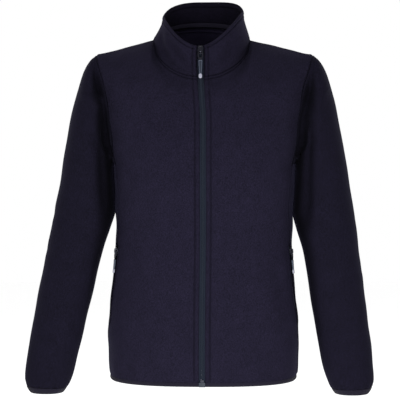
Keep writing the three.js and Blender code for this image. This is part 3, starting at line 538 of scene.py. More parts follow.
SWELLS = (
    Swell(96, 14, 0.4, 0.5),
    Swell(67, 58, 2.1, 0.35),
    Swell(51, 112, 4.4, 0.28),
    Swell(38, 151, 1.2, 0.18),
)


def drift(points: np.ndarray) -> np.ndarray:
    """Slow unevenness of cloth that hangs, under 1.5 mm in all."""
    total = np.zeros(points.shape[:-1])
    for swell in SWELLS:
        angle = swell.turn * DEGREE
        level = points[..., 0] * math.cos(angle) + points[..., 2] * math.sin(angle)
        wander = 0.5 * np.sin(points[..., 1] / 31 + swell.start)
        total += swell.height * np.sin(2 * math.pi * level / swell.length + swell.start + wander)
    return total


# Panels


@dataclass
class Panel:
    """A piece of cloth: its outer and inner grids, and what stitching needs to lie on it."""

    outer: Grid
    inner: Grid
    outward: Grid
    base: Grid
    plain: Grid
    closed: bool = False
    sleeve: bool = False


def outward_of(grid: Grid, turn: int, closed: bool) -> Grid:
    """Outward directions of a grid, from its neighbours."""
    if closed:
        across = np.roll(grid, -1, axis=1) - np.roll(grid, 1, axis=1)
    else:
        across = np.gradient(grid, axis=1)
    return unit(np.cross(across, np.gradient(grid, axis=0)) * turn)


def edge_distances(grid: Grid) -> dict[str, np.ndarray]:
    """How far each point lies from the grid's four edges, along its row or column."""
    across = np.linalg.norm(np.diff(grid, axis=1), axis=-1)
    start = np.concatenate([np.zeros((len(grid), 1)), np.cumsum(across, axis=1)], axis=1)
    up = np.linalg.norm(np.diff(grid, axis=0), axis=-1)
    bottom = np.concatenate([np.zeros((1, grid.shape[1])), np.cumsum(up, axis=0)])
    return {"start": start, "end": start[:, -1:] - start, "bottom": bottom, "top": bottom[-1:] - bottom}


def plain_seam(distance: np.ndarray) -> np.ndarray:
    """Relief beside a plain seam: the cloth puffs up a little way from it."""
    return -ditch(distance, 1.0, 2.3, 3.2) - ditch(distance, 0.5, 5.0, 8.0)


def stitched_seam(distance: np.ndarray, stitch: float) -> np.ndarray:
    """Relief beside a seam or fold with a row of stitches along it at a distance."""
    roll = -ditch(distance, 1.2, stitch * 0.26, stitch * 0.52)
    return roll + ditch(distance, 1.1, 1.0, stitch) - ditch(distance, 0.8, 2.6, stitch + 3.6)


def walled(
    base: Grid,
    outward: Grid,
    height: np.ndarray,
    roll: np.ndarray,
    turn: int,
    wall: float = FLEECE_WALL,
    sleeve: bool = False,
) -> Panel:
    """A panel's two sides from its base, the height of its relief and the roll of its free edges.

    Args:
        base: The outside before any relief.
        outward: Its outward directions.
        height: How far each point stands out.
        roll: How far each point draws in at a rounded free edge.
        turn: Which way the columns run.
        wall: The cloth's thickness.
        sleeve: Whether the grid is a closed tube that hangs as a sleeve does.

    Returns:
        The finished panel, hung.
    """
    plain = outward
    folded = base + outward * height[..., None]
    fresh = outward_of(folded, turn, sleeve)
    keep = np.exp(-((edge_distances(base)["top" if not sleeve else "bottom"] / 2.0) ** 2))[..., None]
    outward = unit(fresh * (1 - keep) + outward * keep)
    outer = folded - outward * roll[..., None]
    inner = folded - outward * (wall - roll)[..., None]
    return Panel(hung(outer, sleeve), hung(inner, sleeve), outward, base, plain, sleeve, sleeve)


EDGE = (0.0, 0.2, 0.6, 1.2, 2.0, 3.2)
STITCHED = (*EDGE, 4.6, 5.6, 6.2, 6.8, 7.6, 8.8, 10.6, 13.4, 17.0)
FOLDED = (*EDGE, 4.4, 5.8, 7.2, 8.2, 8.7, 9.2, 9.8, 10.8, 12.6, 15.6)
SEAMED = (0.0, 0.4, 0.9, 1.6, 2.5, 3.5, 4.8, 6.2, 8.0, 10.6, 14.0)
TOPSTITCH = 8.7
POCKET_STITCH = 6.2
NECK_STITCH = 6.2
FABRIC_STEP = 4.5


def panel_levels() -> tuple[np.ndarray, np.ndarray]:
    """Levels of the body below the armpit, and beside the armhole."""
    low = Stations((*EDGE, 5.0, 8.0), (0.0,), round((ARMPIT - HEM) / FABRIC_STEP))
    close = Stations((0.0, 0.4, 0.9, 1.6, 2.6, 4.2, 6.5, 9.5), (0.0,), 22)
    return HEM + low.over(ARMPIT - HEM)[:-1], ARMPIT + close.over(YOKE - ARMPIT)


UPPER_ROWS = Stations((0.0,), STITCHED, 24)
SLEEVE_ROWS = Stations((*SEAMED, 18.0), (0.0, 0.5, 1.2, 2.2, 3.6, 5.5, 8.0, 11.0, 14.5), 96)
GATHERS = 17
NECK_SEAM_HALF = 93.0
NECK_SEAM_FADE = 6.0
NECK_STITCHED_HALF = 86.0


def pocket_share(z: np.ndarray | float) -> np.ndarray | float:
    """1 beside the pocket's opening, 0 away from it."""
    rise = ease((z - POCKET_BOTTOM + POCKET_EASE) / POCKET_EASE)
    return np.minimum(rise, ease((POCKET_TOP + POCKET_EASE - z) / POCKET_EASE))


def neck_share(base: Grid) -> np.ndarray:
    """1 where a panel's top edge is the neck seam, 0 where it is the shoulder seam."""
    return ease((NECK_SEAM_HALF - np.abs(base[-1, :, 0])) / NECK_SEAM_FADE)[None, :]


@dataclass
class FrontPanel:
    """A front: from the folded zip edge to the side seam and armhole, up to neck and shoulder."""

    side: Side
    columns: Stations = field(default_factory=lambda: Stations(FOLDED, SEAMED, 34))

    def level(self, z: float) -> np.ndarray:
        """The panel's row at a level up to the yoke."""
        if z < ARMPIT:
            end, trim = along(SIDE_SEAM, "at", z), POCKET_HALF * float(pocket_share(z))
        else:
            end, trim = angle_of_x(z, along(FRONT_ARMHOLE, "at", z)), 0.0
        line = body_line(z, angle_of_x(z, OPENING_HALF), end)
        return at_distances(line, self.columns.over(lengths(line)[-1] - trim))

    def base(self) -> Grid:
        """The panel's outside before its creases and seams."""
        lower, beside = panel_levels()
        rows = [self.level(z) for z in (*lower, *beside)]
        start, below = rows[-1], self.level(UNDER_YOKE)
        ends, arrive = [], []
        for share in lengths(start) / lengths(start)[-1]:
            turn = mix(OPENING_TURN, 90.0, min(1.0, share * 2))
            end = neck_point(turn) if share < 0.5 else shoulder_point(share * 2 - 1)
            ends.append(end)
            arrive.append(arrival(end, -1, min(1.0, share * 2)))
        upper = upper_cloth(below, start, np.array(ends), np.array(arrive))
        return np.concatenate([np.array(rows)[:-1], resampled(upper, UPPER_ROWS)])

    def build(self) -> Panel:
        """The panel with its creases, folded zip edge, topstitch and seams."""
        base = self.base()
        base[..., 0] *= self.side.value
        name = f"front_{self.side.word}"
        edge = edge_distances(base)
        outward = outward_of(base, self.side.value, False)
        in_pocket = pocket_share(base[..., 2]) * (base[..., 2] < ARMPIT)
        quiet = 1 - np.exp(-((edge["start"] / 24) ** 2))
        height = crease_height(name, base) + drift(base) * quiet
        height += stitched_seam(edge["start"], TOPSTITCH) * ease((edge["bottom"] + 2) / 6)
        height += plain_seam(edge["end"]) * (1 - in_pocket)
        height += stitched_seam(edge["end"], POCKET_STITCH) * in_pocket
        on_neck = neck_share(base)
        height += stitched_seam(edge["top"], NECK_STITCH) * on_neck
        height += plain_seam(edge["top"]) * (1 - on_neck)
        height *= ease(edge["bottom"] / 8)
        edge_roll = lip(edge["start"], FLEECE_WALL / 2)
        edge_roll = np.maximum(edge_roll, lip(edge["end"], FLEECE_WALL / 2) * in_pocket)
        return walled(base, outward, height, edge_roll, self.side.value)


@dataclass
class BackPanel:
    """The back: from one side seam and armhole round to the other."""

    columns: Stations = field(default_factory=lambda: Stations(SEAMED, SEAMED, 92))

    def level(self, z: float) -> np.ndarray:
        """The panel's row at a level up to the yoke."""
        low = z < ARMPIT
        angle = along(SIDE_SEAM, "at", z) if low else along(BACK_ARMHOLE, "at", z)
        trim = POCKET_HALF * float(pocket_share(z)) if low else 0.0
        line = body_line(z, angle, 360 - angle, 400)
        length = lengths(line)[-1]
        return at_distances(line, trim + self.columns.over(length - 2 * trim))

    def top_point(self, share: float) -> tuple[np.ndarray, float]:
        """The point of the shoulder or neck seam at a share across, and how much is shoulder."""
        half = min(share, 1 - share) * 4
        if half < 1:
            end, on_shoulder = shoulder_point(1 - half), 1.0
        else:
            end, on_shoulder = neck_point(mix(90.0, 180.0, half - 1)), 2.0 - half
        if share > 0.5:
            end = end * np.array([-1.0, 1.0, 1.0])
        return end, on_shoulder

    def base(self) -> Grid:
        """The panel's outside before its creases and seams."""
        lower, beside = panel_levels()
        rows = [self.level(z) for z in (*lower, *beside)]
        start, below = rows[-1], self.level(UNDER_YOKE)
        tops = [self.top_point(float(share)) for share in lengths(start) / lengths(start)[-1]]
        ends = np.array([end for end, _ in tops])
        arrive = np.array([arrival(end, 1, on_shoulder) for end, on_shoulder in tops])
        upper = upper_cloth(below, start, ends, arrive)
        return np.concatenate([np.array(rows)[:-1], resampled(upper, UPPER_ROWS)])

    def build(self) -> Panel:
        """The panel with its creases and seams."""
        base = self.base()
        edge = edge_distances(base)
        outward = outward_of(base, 1, False)
        side = np.minimum(edge["start"], edge["end"])
        in_pocket = pocket_share(base[..., 2]) * (base[..., 2] < ARMPIT)
        height = crease_height("back", base) + drift(base) * 1.2
        height += plain_seam(side) * (1 - in_pocket) + stitched_seam(side, POCKET_STITCH) * in_pocket
        on_neck = neck_share(base)
        height += stitched_seam(edge["top"], NECK_STITCH) * on_neck
        height += plain_seam(edge["top"]) * (1 - on_neck)
        height *= ease(edge["bottom"] / 8)
        return walled(base, outward, height, lip(side, FLEECE_WALL / 2) * in_pocket, 1)


@dataclass
class SleevePanel:
    """A set-in sleeve, from the armhole seam to the cuff's binding."""

    side: Side
    columns: int = 120

    def loop(self) -> np.ndarray:
        """The armhole from the armpit up the front, over the shoulder and down the back."""
        start = len(panel_levels()[0])
        front = FrontPanel(Side.LEFT).base()[start:, -1]
        back = BackPanel().base()[start:, 0]
        line = np.concatenate([front, back[::-1][1:]])
        reach = np.linspace(0, lengths(line)[-1], self.columns + 1)[:-1]
        return at_distances(line, reach)

    def ring(self, row: SleeveRing, angles: np.ndarray) -> np.ndarray:
        """A ring at given angles: 0 is the inner side, a quarter turn the front."""
        c, s = np.cos(angles), np.sin(angles)
        swing = -np.sign(c) * np.abs(c) ** (2 / SLEEVE_ROUNDNESS)
        x = (row.outer_x + row.inner_x) / 2 + (row.outer_x - row.inner_x) / 2 * swing
        z = (row.outer_z + row.inner_z) / 2 + (row.outer_z - row.inner_z) / 2 * swing
        y = row.y - row.depth * np.sign(s) * np.abs(s) ** (2 / SLEEVE_ROUNDNESS)
        return np.stack([x, y, z], axis=-1)

    def angles(self, loop: np.ndarray) -> tuple[np.ndarray, np.ndarray]:
        """The loop's own angles, and the even ones that the sleeve turns to."""
        reach = np.where(loop[:, 1] < 0, ARMHOLE_FRONT, ARMHOLE_BACK)
        rise = (ARMHOLE_MIDDLE_Z - loop[:, 2]) / ARMHOLE_HALF_HEIGHT
        own = np.unwrap(np.arctan2(-loop[:, 1] / reach, rise))
        even = own[0] + np.arange(self.columns) * 2 * math.pi / self.columns
        return own, even

    def build(self) -> Panel:
        """The sleeve with its creases, its armhole seam and the gathers at the cuff."""
        loop = self.loop()
        own, even = self.angles(loop)
        rings = [loop]
        for i, row in enumerate(SLEEVE):
            share = float(ease((i + 1) / EVEN_AFTER))
            rings.append(self.ring(row, own * (1 - share) + even * share))
        rows = refine_rows(np.array(rings), [tuple(np.arange(8) / 8)] * len(SLEEVE))
        base = resampled(rows, SLEEVE_ROWS)
        base[..., 0] *= self.side.value
        turn = -self.side.value
        edge = edge_distances(base)
        outward = outward_of(base, turn, True)
        height = crease_height(f"sleeve_{self.side.word}", base)
        height += drift(base * np.array([1.0, 1.0, 0.8])) * 0.9
        height *= ease(edge["bottom"] / CREASES_FROM)
        levels = [-row.z for row in HOLLOWS]
        deep = [getattr(row, self.side.word) for row in HOLLOWS]
        depth = np.interp(-base[..., 2], levels, deep)
        in_front = ease((-base[..., 1] - HOLLOW_BESIDE) / HOLLOW_GROWS)
        behind = ease((base[..., 1] - HOLLOW_BESIDE) / HOLLOW_GROWS)
        depth *= in_front + BACK_SHARE * behind
        fall = np.exp(-(((edge["bottom"] - HOLLOW_AT) / HOLLOW_WIDTH) ** 2))
        fall *= ease(edge["bottom"] / HOLLOW_FROM)
        height -= depth * fall
        height += plain_seam(edge["bottom"]) * ease((base[..., 2] - ARMPIT - ROLL_FROM) / ROLL_GROWS)
        pucker = np.sin(np.arange(self.columns) * 2 * math.pi * GATHERS / self.columns)
        wander = 0.6 + 0.4 * np.sin(np.arange(self.columns) * 0.41 + self.side.value)
        gather = np.exp(-((edge["top"] / GATHER_REACH) ** 2))
        height += (pucker * wander)[None, :] * GATHER_HEIGHT * gather
        height += ditch(edge["top"], 0.7, 1.8)
        return walled(base, outward, height, np.zeros_like(height), turn, sleeve=True)


# How deep each sleeve's cloth falls in beside its armhole seam, level by level


@dataclass(frozen=True)
class Hollow:
    """The hollow beside the armhole seam at one level: its depth on each sleeve."""

    z: float
    right: float
    left: float


HOLLOWS = (
    Hollow(-40, 0, 0),
    Hollow(-66, 9, 4),
    Hollow(-92, 13, 12),
    Hollow(-108, 5, 13),
    Hollow(-124, 7, 10),
    Hollow(-146, 12, 8),
    Hollow(-176, 13, 11),
    Hollow(-196, 8, 7),
    Hollow(-214, 0, 0),
)
HOLLOW_AT = 8.5
HOLLOW_WIDTH = 8.5
HOLLOW_FROM = 6.5
HOLLOW_BESIDE = 14.0
HOLLOW_GROWS = 18.0
BACK_SHARE = 0.55
CREASES_FROM = 26.0
ROLL_FROM = 3.0
ROLL_GROWS = 18.0
GATHER_HEIGHT = 0.8
GATHER_REACH = 15.0
COLLAR_SUNK = 0.9


@dataclass
class CollarPanel:
    """The stand collar: cloth folded double, open at the front."""

    columns: Stations = field(default_factory=lambda: Stations(FOLDED, FOLDED, 84))

    def base(self) -> Grid:
        """The collar's outside before its creases and seams."""
        turns = np.linspace(OPENING_TURN, 360 - OPENING_TURN, 241)
        rows = []
        for t in np.linspace(0, 1, 31):
            line = np.array([collar_point(turn, float(t)) for turn in turns])
            rows.append(at_distances(line, self.columns.over(lengths(line)[-1])))
        grid = resampled(np.array(rows), Stations(SEAMED, STITCHED, 8))
        grid[:, 0, 0], grid[:, -1, 0] = OPENING_HALF, -OPENING_HALF
        grid[0] += unit(grid[0] - grid[1]) * COLLAR_SUNK
        return grid

    def build(self) -> Panel:
        """The collar with its creases, seam, folded edges and its row of topstitch."""
        base = self.base()
        edge = edge_distances(base)
        outward = outward_of(base, 1, False)
        outward[:, [0, -1], 0] = 0.0
        outward = unit(outward)
        ends = np.minimum(edge["start"], edge["end"])
        height = crease_height("collar", base) + drift(base) * 0.5 * ease(ends / 20)
        height *= ease(edge["bottom"] / 8)
        height += plain_seam(edge["bottom"])
        height += stitched_seam(edge["top"], NECK_STITCH) * ease(ends / 9)
        height += stitched_seam(ends, TOPSTITCH)
        roll = lip(np.minimum(edge["top"], ends), COLLAR_WALL / 2)
        return walled(base, outward, height, roll, 1, wall=COLLAR_WALL)


# Meshes


def mesh_of(
    name: str,
    points: np.ndarray,
    faces: Iterable[Sequence[int]],
    uvs: np.ndarray | None = None,
) -> bpy.types.Object:
    """A new object with a mesh from points in millimetres.

    Args:
        name: The piece's name.
        points: One row for each vertex.
        faces: Vertex numbers of each face.
        uvs: One row for each vertex, in millimetres of cloth, or None.

    Returns:
        The object, at the origin.
    """
    mesh = bpy.data.meshes.new(name)
    mesh.from_pydata((np.asarray(points) * MM).tolist(), [], [list(f) for f in faces])
    if uvs is not None:
        layer = mesh.uv_layers.new(name="Cloth")
        corners = np.array([loop.vertex_index for loop in mesh.loops])
        layer.data.foreach_set("uv", (np.asarray(uvs) * MM)[corners].ravel())
    mesh.polygons.foreach_set("use_smooth", [True] * len(mesh.polygons))
    mesh.update()
    piece = bpy.data.objects.new(name, mesh)
    bpy.context.scene.collection.objects.link(piece)
    return piece


def wall_faces(rows: int, columns: int, closed: bool) -> list[tuple[int, int, int, int]]:
    """Faces of a closed wall between an outer grid and an inner grid that follows it."""
    span = columns if closed else columns - 1

    def at(layer: int, i: int, j: int) -> int:
        return layer * rows * columns + i * columns + j % columns

    faces = []
    for i in range(rows - 1):
        for j in range(span):
            faces.append((at(0, i, j), at(0, i, j + 1), at(0, i + 1, j + 1), at(0, i + 1, j)))
            faces.append((at(1, i, j + 1), at(1, i, j), at(1, i + 1, j), at(1, i + 1, j + 1)))
    top = rows - 1
    for j in range(span):
        faces.append((at(0, 0, j + 1), at(0, 0, j), at(1, 0, j), at(1, 0, j + 1)))
        faces.append((at(0, top, j), at(0, top, j + 1), at(1, top, j + 1), at(1, top, j)))
    if not closed:
        end = columns - 1
        for i in range(rows - 1):
            faces.append((at(0, i, 0), at(0, i + 1, 0), at(1, i + 1, 0), at(1, i, 0)))
            faces.append((at(0, i + 1, end), at(0, i, end), at(1, i, end), at(1, i + 1, end)))
    return faces


def volume_of(points: np.ndarray, faces: Sequence[Sequence[int]]) -> float:
    """Signed volume inside a closed mesh of quads."""
    quads = np.array(faces)
    a, b, c, d = (points[quads[:, k]] for k in range(4))
    return float((np.einsum("ij,ij->i", a, np.cross(b, c)) + np.einsum("ij,ij->i", a, np.cross(c, d))).sum())


def cloth(name: str, outer: Grid, inner: Grid, closed: bool = False) -> bpy.types.Object:
    """A closed wall of cloth between two grids, its faces turned outwards."""
    rows, columns = outer.shape[:2]
    points = np.concatenate([outer.reshape(-1, 3), inner.reshape(-1, 3)])
    faces = wall_faces(rows, columns, closed)
    if volume_of(points, faces) < 0:
        faces = [tuple(reversed(face)) for face in faces]
    edge = edge_distances(outer)
    uv = np.stack([edge["start"], edge["bottom"]], axis=-1).reshape(-1, 2)
    return mesh_of(name, points, faces, np.concatenate([uv, uv]))


def strip(name: str, rows: Grid, outward: Grid, top: float, bottom: float) -> bpy.types.Object:
    """A wall on a grid, from one height over it to another."""
    return cloth(name, rows + outward * top, rows + outward * bottom)


# Nodes and materials


def linear(code: str) -> tuple[float, float, float, float]:
    """An sRGB hex colour as linear red, green, blue and alpha."""
    values = [int(code[i : i + 2], 16) / 255 for i in (1, 3, 5)]
    lit = [v / 12.92 if v <= 0.04045 else ((v + 0.055) / 1.055) ** 2.4 for v in values]
    return (*lit, 1.0)


def add_node(
    tree: bpy.types.NodeTree,
    kind: str,
    links: dict | None = None,
    values: dict | None = None,
    **settings: str,
) -> bpy.types.Node:
    """Adds a node with its settings, its values and the links into it.

    Args:
        tree: The node tree.
        kind: The node's type.
        links: Input name or number to the output socket that feeds it.
        values: Input name or number to a value.
        settings: The node's own properties.

    Returns:
        The node.
    """
    node = tree.nodes.new(kind)
    for key, value in settings.items():
        setattr(node, key, value)
    for key, value in (values or {}).items():
        node.inputs[key].default_value = value
    for key, socket in (links or {}).items():
        tree.links.new(socket, node.inputs[key])
    return node


def new_material(name: str) -> tuple[bpy.types.Material, bpy.types.NodeTree, bpy.types.Node]:
    """A material with an empty tree but for its output and surface shader."""
    material = bpy.data.materials.new(name)
    material.use_nodes = True
    tree = material.node_tree
    tree.nodes.clear()
    shader = add_node(tree, "ShaderNodeBsdfPrincipled")
    add_node(tree, "ShaderNodeOutputMaterial", links={"Surface": shader.outputs["BSDF"]})
    return material, tree, shader


@dataclass(frozen=True)
class Fleece:
    """Brushed polyester micro-fleece: matt, with a short nap of fine tufts and a soft sheen. Its base colour
    also carries painted shade from ambient occlusion.
    """

    name: str
    deep: str
    high: str
    tuft: float = 2.1
    patch: float = 26.0
    sheen: float = 0.06
    # reach and depth set the painted shade: how far the ambient occlusion looks, and the power with which it
    # darkens the base colour
    reach: float = 50.0
    depth: float = 1.5

    def make(self) -> bpy.types.Material:
        """The material: tufts of the nap as colour and bump, slow patches in the pile, and painted shade,
        where ambient occlusion darkens the base colour in creases, seams and hollows.
        """
        material, tree, shader = new_material(self.name)
        place = add_node(tree, "ShaderNodeTexCoord").outputs["Object"]
        tufts = add_node(
            tree,
            "ShaderNodeTexNoise",
            links={"Vector": place},
            values={"Scale": 1 / (self.tuft * MM), "Detail": 3.0, "Roughness": 0.62},
        )
        patches = add_node(
            tree,
            "ShaderNodeTexNoise",
            links={"Vector": place},
            values={"Scale": 1 / (self.patch * MM), "Detail": 3.0, "Roughness": 0.55},
        )
        both = add_node(
            tree,
            "ShaderNodeMix",
            links={"A": tufts.outputs["Fac"], "B": patches.outputs["Fac"]},
            values={"Factor": 0.16},
        )
        ramp = add_node(tree, "ShaderNodeValToRGB", links={"Fac": both.outputs[0]})
        ramp.color_ramp.elements[0].position = 0.3
        ramp.color_ramp.elements[1].position = 0.7
        ramp.color_ramp.elements[0].color = linear(self.deep)
        ramp.color_ramp.elements[1].color = linear(self.high)
        bump = add_node(
            tree,
            "ShaderNodeBump",
            links={"Height": tufts.outputs["Fac"]},
            values={"Strength": 0.8, "Distance": 0.7 * MM},
        )
        # Painted shade: ambient occlusion raised to the power depth darkens the base colour in creases, seams
        # and hollows
        hollow = add_node(tree, "ShaderNodeAmbientOcclusion", values={"Distance": self.reach * MM})
        painted_shade_power = add_node(
            tree, "ShaderNodeMath", links={0: hollow.outputs["AO"]}, values={1: self.depth}, operation="POWER"
        )
        colour_with_painted_shade = add_node(
            tree,
            "ShaderNodeVectorMath",
            links={"Vector": ramp.outputs["Color"], "Scale": painted_shade_power.outputs[0]},
            operation="SCALE",
        )
        tree.links.new(colour_with_painted_shade.outputs[0], shader.inputs["Base Color"])
        tree.links.new(bump.outputs["Normal"], shader.inputs["Normal"])
        shader.inputs["Roughness"].default_value = 0.96
        shader.inputs["Specular IOR Level"].default_value = 0.04
        shader.inputs["Sheen Weight"].default_value = self.sheen
        shader.inputs["Sheen Roughness"].default_value = 0.42
        shader.inputs["Sheen Tint"].default_value = linear("#8a86b8")
        return material


@dataclass(frozen=True)
class Knit:
    """Narrow knitted or woven tape: fine ribs across its length."""

    name: str
    deep: str
    high: str
    rib: float
    roughness: float = 0.85

    def make(self) -> bpy.types.Material:
        """The material: ribs on the cloth's own coordinates as colour and bump."""
        material, tree, shader = new_material(self.name)
        place = add_node(tree, "ShaderNodeTexCoord").outputs["UV"]
        ribs = add_node(
            tree,
            "ShaderNodeTexWave",
            links={"Vector": place},
            values={"Scale": 0.314 / (self.rib * MM), "Distortion": 0.6, "Detail": 1.0, "Detail Scale": 3.0},
            bands_direction="X",
        )
        ramp = add_node(tree, "ShaderNodeValToRGB", links={"Fac": ribs.outputs["Fac"]})
        ramp.color_ramp.elements[0].color = linear(self.deep)
        ramp.color_ramp.elements[1].color = linear(self.high)
        bump = add_node(
            tree,
            "ShaderNodeBump",
            links={"Height": ribs.outputs["Fac"]},
            values={"Strength": 0.6, "Distance": 0.25 * MM},
        )
        tree.links.new(ramp.outputs["Color"], shader.inputs["Base Color"])
        tree.links.new(bump.outputs["Normal"], shader.inputs["Normal"])
        shader.inputs["Roughness"].default_value = self.roughness
        shader.inputs["Specular IOR Level"].default_value = 0.08
        shader.inputs["Sheen Weight"].default_value = 0.03
        return material


@dataclass(frozen=True)
class Hard:
    """Metal or moulded plastic, with a faint unevenness from casting or moulding."""

    name: str
    colour: str
    metallic: float
    roughness: float
    grain: float = 1.2
    shine: float = 0.4

    def make(self) -> bpy.types.Material:
        """The material: a nearly plain colour with fine grain in tone and bump."""
        material, tree, shader = new_material(self.name)
        place = add_node(tree, "ShaderNodeTexCoord").outputs["Object"]
        grain = add_node(
            tree,
            "ShaderNodeTexNoise",
            links={"Vector": place},
            values={"Scale": 1 / (self.grain * MM), "Detail": 4.0},
        )
        tone = add_node(tree, "ShaderNodeValToRGB", links={"Fac": grain.outputs["Fac"]})
        base = linear(self.colour)
        tone.color_ramp.elements[0].color = (*[v * 0.82 for v in base[:3]], 1.0)
        tone.color_ramp.elements[1].color = (*[min(1.0, v * 1.12) for v in base[:3]], 1.0)
        bump = add_node(
            tree,
            "ShaderNodeBump",
            links={"Height": grain.outputs["Fac"]},
            values={"Strength": 0.12, "Distance": 0.1 * MM},
        )
        tree.links.new(tone.outputs["Color"], shader.inputs["Base Color"])
        tree.links.new(bump.outputs["Normal"], shader.inputs["Normal"])
        shader.inputs["Metallic"].default_value = self.metallic
        shader.inputs["Specular IOR Level"].default_value = self.shine
        shader.inputs["Roughness"].default_value = self.roughness
        return material


class Finish(Enum):
    """The jacket's finishes."""

    FLEECE = Fleece("navy_micro_fleece", "#0a0911", "#1a1726")
    # The sleeves are the same fleece: the darker colours and deeper ambient occlusion here are painted shade,
    # for the shade beside the body
    SLEEVE = Fleece("navy_sleeve_fleece", "#08070d", "#13111e", sheen=0.04, depth=2.4)
    LINING_SIDE = Fleece("navy_fleece_inside", "#110f1b", "#242032", sheen=0.02, depth=1.0)
    # The collar's inside is the same fleece, painted darker as painted shade for the shade inside the neck
    COLLAR_LINING = Fleece("navy_collar_inside", "#07060c", "#110e1a", sheen=0.0, depth=1.5)
    BINDING = Knit("navy_elastic_binding", "#0c0a14", "#171421", 1.2)
    NECK_TAPE = Knit("navy_twill_tape", "#100e18", "#1b1825", 1.0)
    ZIP_TAPE = Knit("slate_zip_tape", "#0f121b", "#191f2b", 0.8)
    COIL = Hard("slate_nylon_coil", "#171d28", 0.0, 0.6, shine=0.12)
    THREAD = Hard("navy_sewing_thread", "#171422", 0.0, 0.8, 0.4, 0.06)
    METAL = Hard("gunmetal_lacquered_zinc", "#202027", 0.9, 0.2)
    GRIP = Hard("slate_moulded_grip", "#131925", 0.0, 0.5, shine=0.2)
    # The grip's rim is painted a lighter grey: a painted highlight on the grip's edges
    RIM = Hard("grey_moulded_rim", "#39404f", 0.0, 0.4)
    TIP = Hard("pale_moulded_tip", "#7e7e8b", 0.0, 0.45)


_made: dict[Finish, bpy.types.Material] = {}


def made(finish: Finish) -> bpy.types.Material:
    """The finish's material, made at its first use."""
    if finish not in _made:
        _made[finish] = finish.value.make()
    return _made[finish]


def dress(piece: bpy.types.Object, finish: Finish) -> None:
    """Gives a piece one finish all over."""
    piece.data.materials.clear()
    piece.data.materials.append(made(finish))


def place_piece(piece: bpy.types.Object, body: str, slot: str, *nodes: str) -> None:
    """Makes a piece ride on a body and hides the nodes it stands for."""
    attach(piece, body)
    if nodes:
        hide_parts(*nodes)
    log.info("%s: %d faces on %s", piece.name, len(piece.data.polygons), body)


# Studio


@dataclass(frozen=True)
class Studio:
    """Pale floor, soft light and the camera at the photo's angle."""

    distance: float = 3.1
    elevation: float = 3.5
    azimuth: float = 1.5
    scale: float = 1.85
    frame: int = 400
    sensor: float = 36.0
    middle_x: float = 205.5
    neck_level: float = 41.0
    floor_reach: float = 6000.0
    floor_level: float = -1100.0

    def camera(self) -> None:
        """The camera, aimed at the photo's middle from its height."""
        half = self.frame / 2
        aim = Vector(((half - self.middle_x) * self.scale, 0.0, (self.neck_level - half) * self.scale)) * MM
        a, e = self.azimuth * DEGREE, self.elevation * DEGREE
        back = Vector((math.sin(a) * math.cos(e), -math.cos(a) * math.cos(e), math.sin(e)))
        data = bpy.data.cameras.new("camera")
        data.sensor_width = self.sensor
        data.lens = self.distance * self.sensor / (self.frame * self.scale * MM)
        data.clip_end = 40.0
        camera = bpy.data.objects.new("camera", data)
        camera.location = aim + back * self.distance
        camera.rotation_euler = back.to_track_quat("Z", "Y").to_euler()
        bpy.context.scene.collection.objects.link(camera)
        bpy.context.scene.camera = camera

    def light(self, name: str, place: tuple[float, float, float], power: float, size: float) -> None:
        """A square soft light that faces the jacket's middle, its place in metres."""
        data = bpy.data.lights.new(name, "AREA")
        data.energy = power
        data.size = size
        lamp = bpy.data.objects.new(name, data)
        lamp.location = place
        towards = Vector((0.0, 0.0, -0.3)) - Vector(place)
        lamp.rotation_euler = towards.to_track_quat("-Z", "Y").to_euler()
        bpy.context.scene.collection.objects.link(lamp)

    def floor(self) -> None:
        """A wide pale floor below the jacket."""
        reach, level = self.floor_reach, self.floor_level
        turns = [i * math.pi / 24 for i in range(48)]
        ring = [(reach * math.cos(turn), reach * math.sin(turn), level) for turn in turns]
        floor = mesh_of("floor", np.array(ring), [range(48)])
        material, tree, shader = new_material("pale_floor")
        grain = add_node(tree, "ShaderNodeTexNoise", values={"Scale": 3.0})
        tone = add_node(tree, "ShaderNodeValToRGB", links={"Fac": grain.outputs["Fac"]})
        tone.color_ramp.elements[0].color = linear("#fcfcfc")
        tone.color_ramp.elements[1].color = linear("#ffffff")
        tree.links.new(tone.outputs["Color"], shader.inputs["Base Color"])
        shader.inputs["Roughness"].default_value = 0.9
        floor.data.materials.append(material)

    def build(self) -> None:
        """The whole studio."""
        self.camera()
        self.floor()
        world = bpy.data.worlds.new("studio")
        world.use_nodes = True
        world.node_tree.nodes["Background"].inputs["Color"].default_value = (1.0, 1.0, 1.0, 1.0)
        world.node_tree.nodes["Background"].inputs["Strength"].default_value = 1.0
        bpy.context.scene.world = world
        bpy.context.scene.view_settings.view_transform = "Standard"
        self.light("key", (0.1, -1.0, -0.6), 12.5, 0.6)
        self.light("side", (-1.9, -1.3, 0.9), 15.0, 0.6)
        self.light("back_left", (-1.9, 2.2, 0.9), 20.0, 0.9)
        self.light("back_right", (1.9, 2.2, 0.9), 20.0, 0.9)


# What repeats: stitches and teeth


@dataclass
class Row:
    """Places for small repeated pieces, each with its run and its outward direction."""

    points: np.ndarray
    runs: np.ndarray
    outwards: np.ndarray

    def then(self, other: "Row") -> "Row":
        """This row and another after it."""
        return Row(
            np.concatenate([self.points, other.points]),
            np.concatenate([self.runs, other.runs]),
            np.concatenate([self.outwards, other.outwards]),
        )


